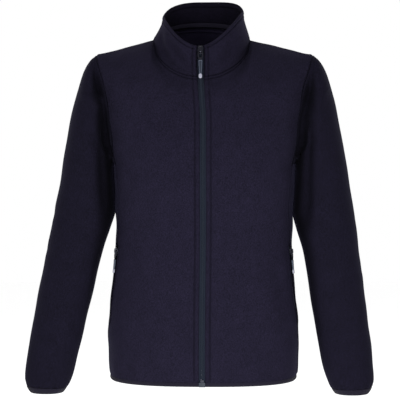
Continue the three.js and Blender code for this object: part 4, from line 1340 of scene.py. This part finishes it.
def row_along(
    line: np.ndarray,
    outward: np.ndarray,
    pitch: float,
    trim: tuple[float, float] = (0.0, 0.0),
) -> Row:
    """Evenly spaced places along a line on the cloth.

    Args:
        line: The line's points.
        outward: The cloth's outward direction at each of them.
        pitch: The distance from one place to the next.
        trim: How much of the line stays free at its start and end.

    Returns:
        The places.
    """
    reach = lengths(line)
    run_length = reach[-1] - trim[0] - trim[1]
    count = max(2, int(run_length / pitch))
    middle = trim[0] + (np.arange(count) + 0.5) * run_length / count
    points = at_distances(line, middle)
    ahead, behind = at_distances(line, middle + 0.8), at_distances(line, middle - 0.8)
    outwards = np.stack([np.interp(middle, reach, outward[:, k]) for k in range(3)], axis=-1)
    return Row(points, unit(ahead - behind), unit(outwards))


def rounded_stick(length: float, half_wide: float, half_high: float, sides: int) -> bpy.types.Mesh:
    """A short stick with tapered ends along X, its middle a little higher than its ends."""
    stations = (
        (-0.5, 0.45, -0.5),
        (-0.4, 0.85, -0.1),
        (-0.16, 1.0, 0.2),
        (0.16, 1.0, 0.2),
        (0.4, 0.85, -0.1),
        (0.5, 0.45, -0.5),
    )
    points, faces = [], []
    for at, size, lift in stations:
        for k in range(sides):
            a = 2 * math.pi * k / sides
            wide, high = size * half_wide * math.cos(a), (size * math.sin(a) + lift) * half_high
            points.append((at * length, wide, high))
    for i in range(len(stations) - 1):
        for k in range(sides):
            n = (k + 1) % sides
            faces.append((i * sides + k, i * sides + n, (i + 1) * sides + n, (i + 1) * sides + k))
    faces.append(tuple(range(sides)))
    faces.append(tuple(reversed(range((len(stations) - 1) * sides, len(stations) * sides))))
    stick = mesh_of("one", np.array(points), [tuple(reversed(face)) for face in faces])
    mesh = stick.data
    bpy.data.objects.remove(stick)
    return mesh


def repeater() -> bpy.types.NodeTree:
    """Nodes that set one small piece on every point of a mesh, turned by the point's own turn."""
    tree = bpy.data.node_groups.new("set_on_points", "GeometryNodeTree")
    tree.interface.new_socket("Geometry", in_out="INPUT", socket_type="NodeSocketGeometry")
    tree.interface.new_socket("Piece", in_out="INPUT", socket_type="NodeSocketObject")
    tree.interface.new_socket("Finish", in_out="INPUT", socket_type="NodeSocketMaterial")
    tree.interface.new_socket("Geometry", in_out="OUTPUT", socket_type="NodeSocketGeometry")
    given = add_node(tree, "NodeGroupInput")
    piece = add_node(tree, "GeometryNodeObjectInfo", links={"Object": given.outputs["Piece"]})
    turn = add_node(
        tree, "GeometryNodeInputNamedAttribute", values={"Name": "turn"}, data_type="FLOAT_VECTOR"
    )
    rotation = add_node(tree, "FunctionNodeEulerToRotation", links={0: turn.outputs["Attribute"]})
    placed = add_node(
        tree,
        "GeometryNodeInstanceOnPoints",
        links={
            "Points": given.outputs["Geometry"],
            "Instance": piece.outputs["Geometry"],
            "Rotation": rotation.outputs[0],
        },
    )
    real = add_node(tree, "GeometryNodeRealizeInstances", links={"Geometry": placed.outputs["Instances"]})
    done = add_node(
        tree,
        "GeometryNodeSetMaterial",
        links={"Geometry": real.outputs["Geometry"], "Material": given.outputs["Finish"]},
    )
    add_node(tree, "NodeGroupOutput", links={"Geometry": done.outputs["Geometry"]})
    return tree


def set_on(name: str, row: Row, piece: bpy.types.Mesh, finish: Finish) -> bpy.types.Object:
    """Repeats a small mesh along a row through Geometry Nodes and keeps the result as a mesh.

    Args:
        name: The new piece's name.
        row: The places.
        piece: The small mesh, its length along X and its outside along +Z.
        finish: The finish of the result.

    Returns:
        The finished object.
    """
    across = unit(np.cross(row.outwards, row.runs))
    up = np.cross(row.runs, across)
    turns = []
    for x, y, z in zip(row.runs, across, up):
        turns.append(Matrix((x, y, z)).transposed().to_euler())
    base = mesh_of(name, row.points, [])
    turn = base.data.attributes.new("turn", "FLOAT_VECTOR", "POINT")
    turn.data.foreach_set("vector", np.array(turns, dtype=np.float32).ravel())
    single = bpy.data.objects.new("single", piece)
    bpy.context.scene.collection.objects.link(single)
    modifier = base.modifiers.new("set_on_points", "NODES")
    modifier.node_group = repeater()
    sockets = {s.name: s.identifier for s in modifier.node_group.interface.items_tree if s.in_out == "INPUT"}
    modifier[sockets["Piece"]] = single
    modifier[sockets["Finish"]] = made(finish)
    graph = bpy.context.evaluated_depsgraph_get()
    mesh = bpy.data.meshes.new_from_object(base.evaluated_get(graph))
    base.modifiers.clear()
    base.data = mesh
    bpy.data.objects.remove(single)
    return base


# Hard pieces


@dataclass(frozen=True)
class Stand:
    """A frame of its own for a zip part: x across, y inwards and z up the zip."""

    place: np.ndarray
    x: np.ndarray
    y: np.ndarray
    z: np.ndarray
    size: float = 1.0

    def world(self, points: np.ndarray) -> np.ndarray:
        """Points of the stand's frame in the jacket's frame."""
        return self.place + (points * self.size) @ np.stack([self.x, self.y, self.z])

    def lifted(self, y: float) -> "Stand":
        """The same frame moved along its y."""
        return Stand(self.place + self.y * y * self.size, self.x, self.y, self.z, self.size)


def rounded(
    corners: Sequence[tuple[float, float]], radius: float, steps: int = 5
) -> list[tuple[float, float]]:
    """A polygon with each corner rounded off."""
    points = np.array(corners, dtype=float)
    result = []
    for i, corner in enumerate(points):
        before, after = points[i - 1] - corner, points[(i + 1) % len(points)] - corner
        reach = min(radius, np.hypot(*before) / 2.05, np.hypot(*after) / 2.05)
        start, end = corner + unit(before) * reach, corner + unit(after) * reach
        for t in np.linspace(0, 1, steps):
            result.append(tuple((1 - t) ** 2 * start + 2 * t * (1 - t) * corner + t * t * end))
    return result


def block(half: float, low: float, high: float) -> list[tuple[float, float]]:
    """A rectangle round x = 0."""
    return [(-half, low), (half, low), (half, high), (-half, high)]


def plate(
    outlines: Sequence[Sequence[tuple[float, float]]],
    front: float,
    back: float,
    bevel: float,
    sideways: bool = False,
) -> tuple[np.ndarray, list[tuple[int, ...]]]:
    """A plate with bevelled edges, drawn in x and z and reaching from one y to another.

    Args:
        outlines: The outer outline and its holes.
        front: The lower y.
        back: The higher y.
        bevel: The edge's radius.
        sideways: Draws in y and z instead, with the depth along x.

    Returns:
        Its points and faces.
    """
    data = bpy.data.curves.new("outline", "CURVE")
    data.dimensions = "2D"
    data.fill_mode = "BOTH"
    data.extrude = (back - front) / 2 - bevel
    data.bevel_depth = bevel
    data.bevel_resolution = 2
    data.offset = -bevel
    for outline in outlines:
        spline = data.splines.new("POLY")
        spline.points.add(len(outline) - 1)
        for point, (x, z) in zip(spline.points, outline):
            point.co = (x, z, 0.0, 1.0)
        spline.use_cyclic_u = True
    drawn = bpy.data.objects.new("outline", data)
    bpy.context.scene.collection.objects.link(drawn)
    graph = bpy.context.evaluated_depsgraph_get()
    mesh = bpy.data.meshes.new_from_object(drawn.evaluated_get(graph))
    bpy.data.objects.remove(drawn)
    solid = bmesh.new()
    solid.from_mesh(mesh)
    bmesh.ops.remove_doubles(solid, verts=solid.verts, dist=1e-4)
    bmesh.ops.recalc_face_normals(solid, faces=solid.faces)
    solid.verts.index_update()
    points = np.array([v.co[:] for v in solid.verts])
    faces = [tuple(v.index for v in f.verts) for f in solid.faces]
    solid.free()
    middle = (front + back) / 2
    if sideways:
        return np.stack([points[:, 2] + middle, points[:, 0], points[:, 1]], axis=-1), faces
    return np.stack([points[:, 0], middle - points[:, 2], points[:, 1]], axis=-1), faces


Solid = tuple[np.ndarray, list[tuple[int, ...]]]


def hard(name: str, stand: Stand, solids: Sequence[Solid], finish: Finish) -> bpy.types.Object:
    """One object from solids drawn in a stand's frame."""
    points, faces, count = [], [], 0
    for solid_points, solid_faces in solids:
        points.append(stand.world(solid_points))
        faces += [tuple(v + count for v in face) for face in solid_faces]
        count += len(solid_points)
    piece = mesh_of(name, np.concatenate(points), faces)
    piece.data.set_sharp_from_angle(angle=38 * DEGREE)
    dress(piece, finish)
    return piece


@dataclass(frozen=True)
class Puller:
    """A zip's slider with its swinging pull: a tab, a slim grip and a round tip."""

    name: str
    stand: Stand
    grip_length: float = 24.0
    tip_length: float = 8.2

    @property
    def body(self) -> str:
        """The body that the pull rides on."""
        return f"{self.name}_pull"

    def slider(self) -> None:
        """The slider: a shield-shaped cover, its side flanges and the bridge for the tab."""
        shield = rounded([(-3.5, -7.5), (3.5, -7.5), (4.6, 1.5), (4.6, 7.5), (-4.6, 7.5), (-4.6, 1.5)], 1.8)
        cover = plate([shield], -2.6, -1.1, 0.45)
        base = plate([rounded(block(4.4, -7.2, 7.2), 1.8)], 2.8, 3.6, 0.3)
        diamond = plate([rounded([(-1.2, 3.0), (1.2, 3.0), (1.6, 7.0), (-1.6, 7.0)], 0.6)], -1.3, 3.0, 0.1)
        flanges = []
        for s in (-1, 1):
            wing = rounded([(s * 3.6, -7), (s * 4.5, 1.5), (s * 4.5, 6.5), (s * 3.7, 6.5)], 0.3)
            flanges.append(plate([wing], -1.4, 0.3, 0.15))
        rise = [(-2.2, -6.2), (-2.2, 6.2), (-4.6, 6.0), (-6.6, 4.6)]
        rise += [(-6.9, 2.0), (-6.9, -2.0), (-6.6, -4.6), (-4.6, -6.0)]
        eye = [(-2.6, -2.8), (-2.6, 2.8), (-5.2, 2.5), (-5.5, 1.6), (-5.5, -1.6), (-5.2, -2.5)]
        bridge = plate([rounded(rise, 1.2), rounded(eye, 0.5)], -1.9, 1.9, 0.35, sideways=True)
        solids = [cover, base, diamond, *flanges, bridge]
        piece = hard(f"{self.name}_slider_metal", self.stand, solids, Finish.METAL)
        place_piece(piece, JACKET, "slider_metal", f"{self.name}_slider")

    def pull(self) -> None:
        """The pull below its pivot: tab with a window, grip with a raised rim in a lighter grey that is a
        painted highlight, pale tip.
        """
        pivot = self.stand.lifted(-4.0)
        tab = rounded([(-2.6, -19), (2.6, -19), (5.4, -11), (4.4, 1), (-4.4, 1), (-5.4, -11)], 2.0)
        window = rounded([(-2.3, -13.6), (2.3, -13.6), (3.0, -1), (-3.0, -1)], 1.2)
        piece = hard(f"{self.body}_tab_metal", pivot, [plate([tab, window], -0.9, 0.9, 0.35)], Finish.METAL)
        place_piece(piece, self.body, "slider_metal", f"{self.body}_tab")
        top, end = -19.0, -19.3 - self.grip_length
        outline = [(-1.9, end), (1.9, end), (3.3, top), (-3.3, top)]
        inside = [(-1.1, end + 1.2), (1.1, end + 1.2), (2.4, top - 0.9), (-2.4, top - 0.9)]
        sleeve = plate([rounded(outline, 1.1)], -0.9, 0.9, 0.4)
        piece = hard(f"{self.body}_grip_core", pivot, [sleeve], Finish.GRIP)
        place_piece(piece, self.body, "pull_grip", f"{self.body}_grip")
        # The rim's lighter grey is a painted highlight on the grip's edges
        rim = plate([rounded(outline, 1.2), rounded(inside, 0.8)], -1.4, 1.4, 0.25)
        place_piece(hard(f"{self.body}_grip_rim", pivot, [rim], Finish.RIM), self.body, "pull_grip")
        tip = plate([rounded(block(3.0, end - self.tip_length, end + 0.3), 2.9, 9)], -1.8, 1.6, 1.1)
        piece = hard(f"{self.body}_tip_plastic", pivot, [tip], Finish.TIP)
        place_piece(piece, self.body, "pull_tip", f"{self.body}_tip")


# The jacket


@dataclass
class Cloths:
    """The jacket's sewn cloth: fronts, back, sleeves and collar, with their bindings and tapes."""

    panels: dict[str, Panel] = field(default_factory=dict)
    pieces: dict[str, bpy.types.Object] = field(default_factory=dict)

    def build(self) -> None:
        """Makes each panel, dresses it and puts it in place of its solid."""
        for side in Side:
            self.panels[f"front_{side.word}"] = FrontPanel(side).build()
            self.panels[f"sleeve_{side.word}"] = SleevePanel(side).build()
        self.panels["back"] = BackPanel().build()
        self.panels["collar"] = CollarPanel().build()
        for name, panel in self.panels.items():
            piece = cloth(f"{name}_cloth", panel.outer, panel.inner, panel.closed)
            # The sleeves get the fleece painted darker, as painted shade
            dress(piece, Finish.SLEEVE if name.startswith("sleeve") else Finish.FLEECE)
            # The collar's inner faces get that darker copy, as painted shade
            line_inside(piece, Finish.COLLAR_LINING if name == "collar" else Finish.LINING_SIDE)
            place_piece(piece, JACKET, "fleece", name)
            self.pieces[name] = piece

    def hem(self) -> None:
        """The elastic binding folded over the hem, a little gathered, with the groove of its stitches."""
        left, back, right = (self.panels[n].base[0] for n in ("front_left", "back", "front_right"))
        line = np.concatenate([left, back, right[::-1]])
        line = at_distances(line, np.linspace(0, lengths(line)[-1], 420))
        outward = unit(np.cross(np.gradient(line, axis=0), np.array([0.0, 0.0, 1.0])))
        drop = BINDING_ROWS.over(HEM + BINDING_TUCK - BINDING_BOTTOM)
        reach = lengths(line)
        gather = 0.22 * np.sin(2 * math.pi * reach / 6.1 + 1.7 * np.sin(reach / 47))
        grid = np.repeat(line[None], len(drop), axis=0)
        grid[..., 2] = (HEM + BINDING_TUCK - drop)[:, None]
        rise = 0.4 + 0.45 * np.sin(math.pi * drop / drop[-1]) - ease((drop - 4.4) / 3.4)
        height = rise[:, None] + gather[None] * np.sin(math.pi * drop / drop[-1])[:, None]
        height += ditch(drop, 0.35, 0.6, BINDING_STITCH)[:, None]
        self.binding("hem_binding", grid, np.repeat(outward[None], len(drop), axis=0), height, False)

    def cuff(self, side: Side) -> None:
        """The elastic binding round a sleeve's end, gathered, with the groove of its stitches."""
        maker = SleevePanel(side)
        _, even = maker.angles(maker.loop())
        rings = np.array([maker.ring(row, even) for row in CUFF_BINDING])
        rings[0] += unit(rings[0] - rings[1]) * BINDING_TUCK
        base = resampled(refine_rows(rings, [tuple(np.arange(6) / 6)] * 2), BINDING_ROWS)
        base[..., 0] *= side.value
        outward = outward_of(base, -side.value, True)
        outward[..., 2] *= 0.4
        outward = unit(outward)
        drop = edge_distances(base)["bottom"]
        share = np.sin(math.pi * drop / drop[-1:])
        wave = np.sin(np.arange(maker.columns) * 2 * math.pi * 2 * GATHERS / maker.columns)
        height = 0.35 + 0.3 * share + 0.35 * wave[None] * share + ditch(drop, 0.35, 0.6, BINDING_STITCH)
        self.binding(f"cuff_binding_{side.word}", base, outward, height, True)

    def binding(self, name: str, base: Grid, outward: Grid, height: np.ndarray, closed: bool) -> None:
        """A binding from its grid and its relief, in which the callers sink a stitch groove near its top
        edge.
        """
        edge = edge_distances(base)
        roll = lip(np.minimum(edge["top"], edge["bottom"]), BINDING_WALL / 2)
        folded = base + outward * height[..., None]
        outer = hung(folded - outward * roll[..., None], closed)
        inner = hung(folded - outward * (BINDING_WALL - roll)[..., None], closed)
        piece = cloth(f"{name}_knit", outer, inner, closed)
        dress(piece, Finish.BINDING)
        place_piece(piece, JACKET, "binding", name)
        self.pieces[name] = piece

    def neck_tape(self) -> None:
        """The tape over the neck seam inside the back of the collar."""
        turns = np.linspace(120, 240, 72)
        base = np.array([[collar_point(turn, t) for turn in turns] for t in np.linspace(0.03, 0.19, 9)])
        outward = outward_of(base, 1, False)
        outward[..., 2] = 0.0
        outward = unit(outward)
        bulge = 0.25 * np.sin(math.pi * np.linspace(0, 1, 9))[:, None, None]
        depth = COLLAR_WALL + SEAM
        outer, inner = base - outward * depth, base - outward * (depth + TAPE_WALL + bulge)
        piece = cloth("neck_tape_twill", hung(outer), hung(inner))
        dress(piece, Finish.NECK_TAPE)
        place_piece(piece, JACKET, "binding", "neck_tape")
        self.pieces["neck_tape"] = piece


BINDING_ROWS = Stations((0.0, 0.2, 0.6, 1.1, 1.6), (0.0, 0.2, 0.6, 1.1, 1.6), 7)
BINDING_STITCH = 2.6
BINDING_TUCK = 1.1


def line_inside(piece: bpy.types.Object, finish: Finish) -> None:
    """Gives the inner half of a wall's faces the finish of its inside."""
    mesh = piece.data
    mesh.materials.append(made(finish))
    half = len(mesh.vertices) // 2
    inside = [int(all(v >= half for v in face.vertices)) for face in mesh.polygons]
    mesh.polygons.foreach_set("material_index", inside)


@dataclass
class FrontZip:
    """The full-length front zip: tapes, teeth, box, slider and pull."""

    panels: dict[str, Panel]

    def middle(self) -> tuple[np.ndarray, np.ndarray]:
        """The zip's line at x = 0 from hem to collar top, and its outward directions."""
        front, collar = self.panels["front_left"], self.panels["collar"]
        line = np.concatenate([front.base[:, 0], collar.base[1:, 0]])
        outward = np.concatenate([front.plain[:, 0], collar.plain[1:, 0]])
        line[:, 0] = 0.0
        steps = np.linspace(0, lengths(line)[-1] - 3.6, 230)
        reach = lengths(line)
        outward[:, 0] = 0.0
        smooth = np.stack([np.interp(steps, reach, outward[:, k]) for k in range(3)], axis=-1)
        for _ in range(6):
            smooth[1:-1] = (smooth[:-2] + smooth[1:-1] + smooth[2:]) / 3
        return at_distances(line, steps), unit(smooth)

    def build(self) -> None:
        """Makes its tapes, teeth and box."""
        line, outward = self.middle()
        collar_from = np.argmax(line[:, 2] > NECK_FRONT[1] - 16)
        for side in Side:
            reach = np.where(np.arange(len(line)) < collar_from, 14.0, 5.15)
            shares = np.array([0.03, 1.6, 2.8, 3.2, 4.2, 5.0, 7.5, 10.5, 14.0])
            x = np.minimum(shares[None], reach[:, None])
            x = np.where(shares[None] > reach[:, None], reach[:, None] + 0.02 * shares[None], x)
            grid = np.repeat(line[:, None], len(shares), axis=1)
            grid[..., 0] = side.value * x
            grid[..., 1] += (x / 88) ** 2 * 3.2
            out = np.repeat(outward[:, None], len(shares), axis=1)
            cord = 0.5 * np.exp(-(((shares - 3.3) / 0.7) ** 2))
            top, low = grid - out * (TAPE_DEPTH - cord)[None, :, None], grid - out * (TAPE_DEPTH + TAPE_WALL)
            piece = cloth(f"front_zip_tape_{side.word}_woven", hung(top), hung(low))
            dress(piece, Finish.ZIP_TAPE)
            place_piece(piece, JACKET, "zip_tape", f"front_zip_tape_{side.word}")
        self.teeth(line, outward)
        self.box(line, outward)

    def teeth(self, line: np.ndarray, outward: np.ndarray) -> None:
        """The closed teeth, each a little left or right of the middle."""
        row = row_along(line, outward, 1.55, (9.0, 0.0))
        row.points[:, 0] += np.where(np.arange(len(row.points)) % 2 == 0, 0.42, -0.42)
        row.points[:] = hung(row.points - row.outwards * 1.5)
        across = np.tile(np.array([1.0, 0.0, 0.0]), (len(row.points), 1))
        tooth = rounded_stick(5.0, 0.62, 0.75, 8)
        piece = set_on("front_zip_teeth", Row(row.points, across, row.outwards), tooth, Finish.COIL)
        place_piece(piece, JACKET, "zip_chain", "front_zip_chain")

    def box(self, line: np.ndarray, outward: np.ndarray) -> None:
        """The box and pin at the zip's lower end."""
        place = hung(np.array([0.0, line[0, 1], HEM]))
        stand = Stand(place, np.array([1.0, 0, 0]), np.array([0, 1.0, 0]), np.array([0, 0, 1.0]))
        shell = plate([rounded(block(5.9, -7, 1.5), 1.2)], -1.7, 1.8, 0.5)
        pin = plate([rounded(block(1.0, 1.0, 8.0), 0.8)], -1.1, 0.9, 0.4)
        pin = (pin[0] + np.array([-1.6, 0, 0]), pin[1])
        post = plate([rounded(block(1.2, 1.0, 6.0), 0.8)], -1.2, 1.0, 0.4)
        post = (post[0] + np.array([1.7, 0, 0]), post[1])
        slot = plate([rounded(block(0.35, -6, 0.8), 0.3)], -2.0, -1.4, 0.1)
        place_piece(hard("front_zip_pin_metal", stand, [pin, post], Finish.METAL), JACKET, "zip_chain")
        piece = hard("front_zip_box_moulded", stand, [shell, slot], Finish.GRIP)
        place_piece(piece, JACKET, "zip_chain", "front_zip_box")

    def puller(self) -> Puller:
        """The slider's place near the top of the collar, as the solids have it."""
        levels = [collar_point(OPENING_TURN, t) for t in (0.0, 0.75, 1.0)]
        neck, lower, top = (np.array([0.0, p[1], p[2]]) for p in levels)
        top = lower + (top - lower) * 0.94
        place = hung(lower + (top - lower) * 0.45)
        up = unit(top - neck)
        outward = unit(np.cross(np.array([1.0, 0, 0]), up))
        return Puller("front", Stand(place, unit(np.cross(up, outward)), -outward, up))


@dataclass
class PocketZip:
    """A pocket's zip in the side seam: tapes, teeth, slider and pull."""

    side: Side
    panels: dict[str, Panel]

    def edges(self, z: float) -> tuple[np.ndarray, np.ndarray, np.ndarray]:
        """The front's edge, the back's edge and the outward direction at a level."""
        front = FrontPanel(Side.LEFT).level(z)[-1]
        back = BackPanel().level(z)[0]
        angle = along(SIDE_SEAM, "at", z)
        run = body_line(z, angle - 0.5, angle + 0.5, 2)
        step = run[-1] - run[0]
        outward = unit(np.array([step[1], -step[0], 0.0]))
        mirror = np.array([self.side.value, 1.0, 1.0])
        return front * mirror, back * mirror, outward * mirror

    def build(self) -> None:
        """Makes its tape and teeth."""
        levels = np.linspace(POCKET_BOTTOM - 8, POCKET_TOP + 8, 60)
        rows, outs, middles = [], [], []
        for z in levels:
            front, back, outward = self.edges(float(z))
            across = unit(back - front)
            middle = (front + back) / 2
            spread = np.array([-12.0, -8.0, -4.6, -3.0, -1.2, 1.2, 3.0, 4.6, 8.0, 12.0])
            sag = 0.0052 * spread**2
            rows.append(middle + across * spread[:, None] - outward * sag[:, None])
            outs.append(np.repeat(outward[None], len(spread), axis=0))
            middles.append(middle)
        grid, out = np.array(rows), np.array(outs)
        depth = TAPE_DEPTH + 0.5
        outer, inner = hung(grid - out * depth), hung(grid - out * (depth + TAPE_WALL))
        piece = cloth(f"pocket_zip_tape_{self.side.word}_woven", outer, inner)
        dress(piece, Finish.ZIP_TAPE)
        place_piece(piece, JACKET, "zip_tape", f"pocket_zip_tape_{self.side.word}")
        line, outward = np.array(middles), out[:, 0]
        row = row_along(line, outward, 1.5, (8.5, 9.0))
        across = unit(np.cross(row.runs, row.outwards))
        offset = np.where(np.arange(len(row.points)) % 2 == 0, 0.36, -0.36)
        row.points[:] = hung(row.points + across * offset[:, None] - row.outwards * 1.6)
        tooth = rounded_stick(4.3, 0.6, 0.65, 8)
        row = Row(row.points, across, row.outwards)
        piece = set_on(f"pocket_zip_teeth_{self.side.word}", row, tooth, Finish.COIL)
        place_piece(piece, JACKET, "zip_chain", f"pocket_zip_chain_{self.side.word}")

    def puller(self) -> Puller:
        """The slider's place at the top of the pocket, as the solids have it."""
        ends = []
        for z in (-430.0, POCKET_TOP):
            front, back, outward = self.edges(z)
            ends.append(hung((front + back) / 2))
        up = unit(ends[1] - ends[0])
        outward = unit(outward - up * float(outward @ up))
        place = ends[1] - up * 9.0
        stand = Stand(place, unit(np.cross(up, outward)), -outward, up, 0.84)
        return Puller(f"pocket_{self.side.word}", stand, 21.0, 9.0)


def pocket_rows(levels: np.ndarray) -> slice:
    """The rows of a panel's edge that lie beside the pocket's opening."""
    return slice(int(np.argmax(levels > POCKET_BOTTOM - 2)), int(np.argmax(levels > POCKET_TOP + 2)))


@dataclass
class Sewing:
    """Rows of stitches on the panels."""

    panels: dict[str, Panel]
    pitch: float = 3.4

    def column(
        self,
        name: str,
        distance: float,
        from_end: bool,
        rows: slice,
        trim: tuple[float, float] = (2, 2),
    ) -> Row:
        """Stitches along a panel's column at a distance from its first or last edge."""
        panel = self.panels[name]
        reach = edge_distances(panel.base)["end" if from_end else "start"]
        j = int(np.argmin(np.abs(reach[len(reach) // 2] - distance)))
        return row_along(panel.outer[rows, j], panel.outward[rows, j], self.pitch, trim)

    def across(self, name: str, distance: float, columns: slice, trim: tuple[float, float] = (2, 2)) -> Row:
        """Stitches along a panel's row at a distance from its top edge."""
        panel = self.panels[name]
        reach = edge_distances(panel.base)["top"]
        i = int(np.argmin(np.abs(reach[:, 0] - distance)))
        return row_along(panel.outer[i, columns], panel.outward[i, columns], self.pitch, trim)

    def build(self) -> None:
        """Sews the fronts' folded edges, the collar, the neck seam and the pockets."""
        thread = rounded_stick(2.7, 0.26, 0.3, 6)
        for side in Side:
            name = f"front_{side.word}"
            base = self.panels[name].base
            pocket = pocket_rows(base[:, -1, 2])
            row = self.column(name, TOPSTITCH, False, slice(None), (6, 2))
            row = row.then(self.column(name, POCKET_STITCH, True, pocket))
            neck = int(np.argmax(np.abs(base[-1, :, 0]) > NECK_STITCHED_HALF))
            row = row.then(self.across(name, NECK_STITCH, slice(10, neck)))
            place_piece(set_on(f"{name}_stitches", row, thread, Finish.THREAD), JACKET, "fleece")
        base = self.panels["back"].base
        pocket = pocket_rows(base[:, 0, 2])
        on_neck = np.nonzero(np.abs(base[-1, :, 0]) < NECK_STITCHED_HALF)[0]
        row = self.column("back", POCKET_STITCH, False, pocket)
        row = row.then(self.column("back", POCKET_STITCH, True, pocket))
        row = row.then(self.across("back", NECK_STITCH, slice(on_neck[0], on_neck[-1] + 1)))
        place_piece(set_on("back_stitches", row, thread, Finish.THREAD), JACKET, "fleece")
        row = self.across("collar", NECK_STITCH, slice(11, -11))
        row = row.then(self.column("collar", TOPSTITCH, False, slice(2, -8)))
        row = row.then(self.column("collar", TOPSTITCH, True, slice(2, -8)))
        place_piece(set_on("collar_stitches", row, thread, Finish.THREAD), JACKET, "fleece")


def main() -> None:
    """Builds the studio and the jacket in order."""
    logging.basicConfig(level=logging.INFO, format="%(name)s: %(message)s")
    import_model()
    Studio().build()
    cloths = Cloths()
    cloths.build()
    cloths.hem()
    cloths.neck_tape()
    for side in Side:
        cloths.cuff(side)
    front_zip = FrontZip(cloths.panels)
    front_zip.build()
    pockets = [PocketZip(side, cloths.panels) for side in Side]
    for pocket in pockets:
        pocket.build()
    for zip_part in (front_zip, *pockets):
        puller = zip_part.puller()
        puller.slider()
        puller.pull()
    Sewing(cloths.panels).build()


if __name__ == "__main__":
    main()
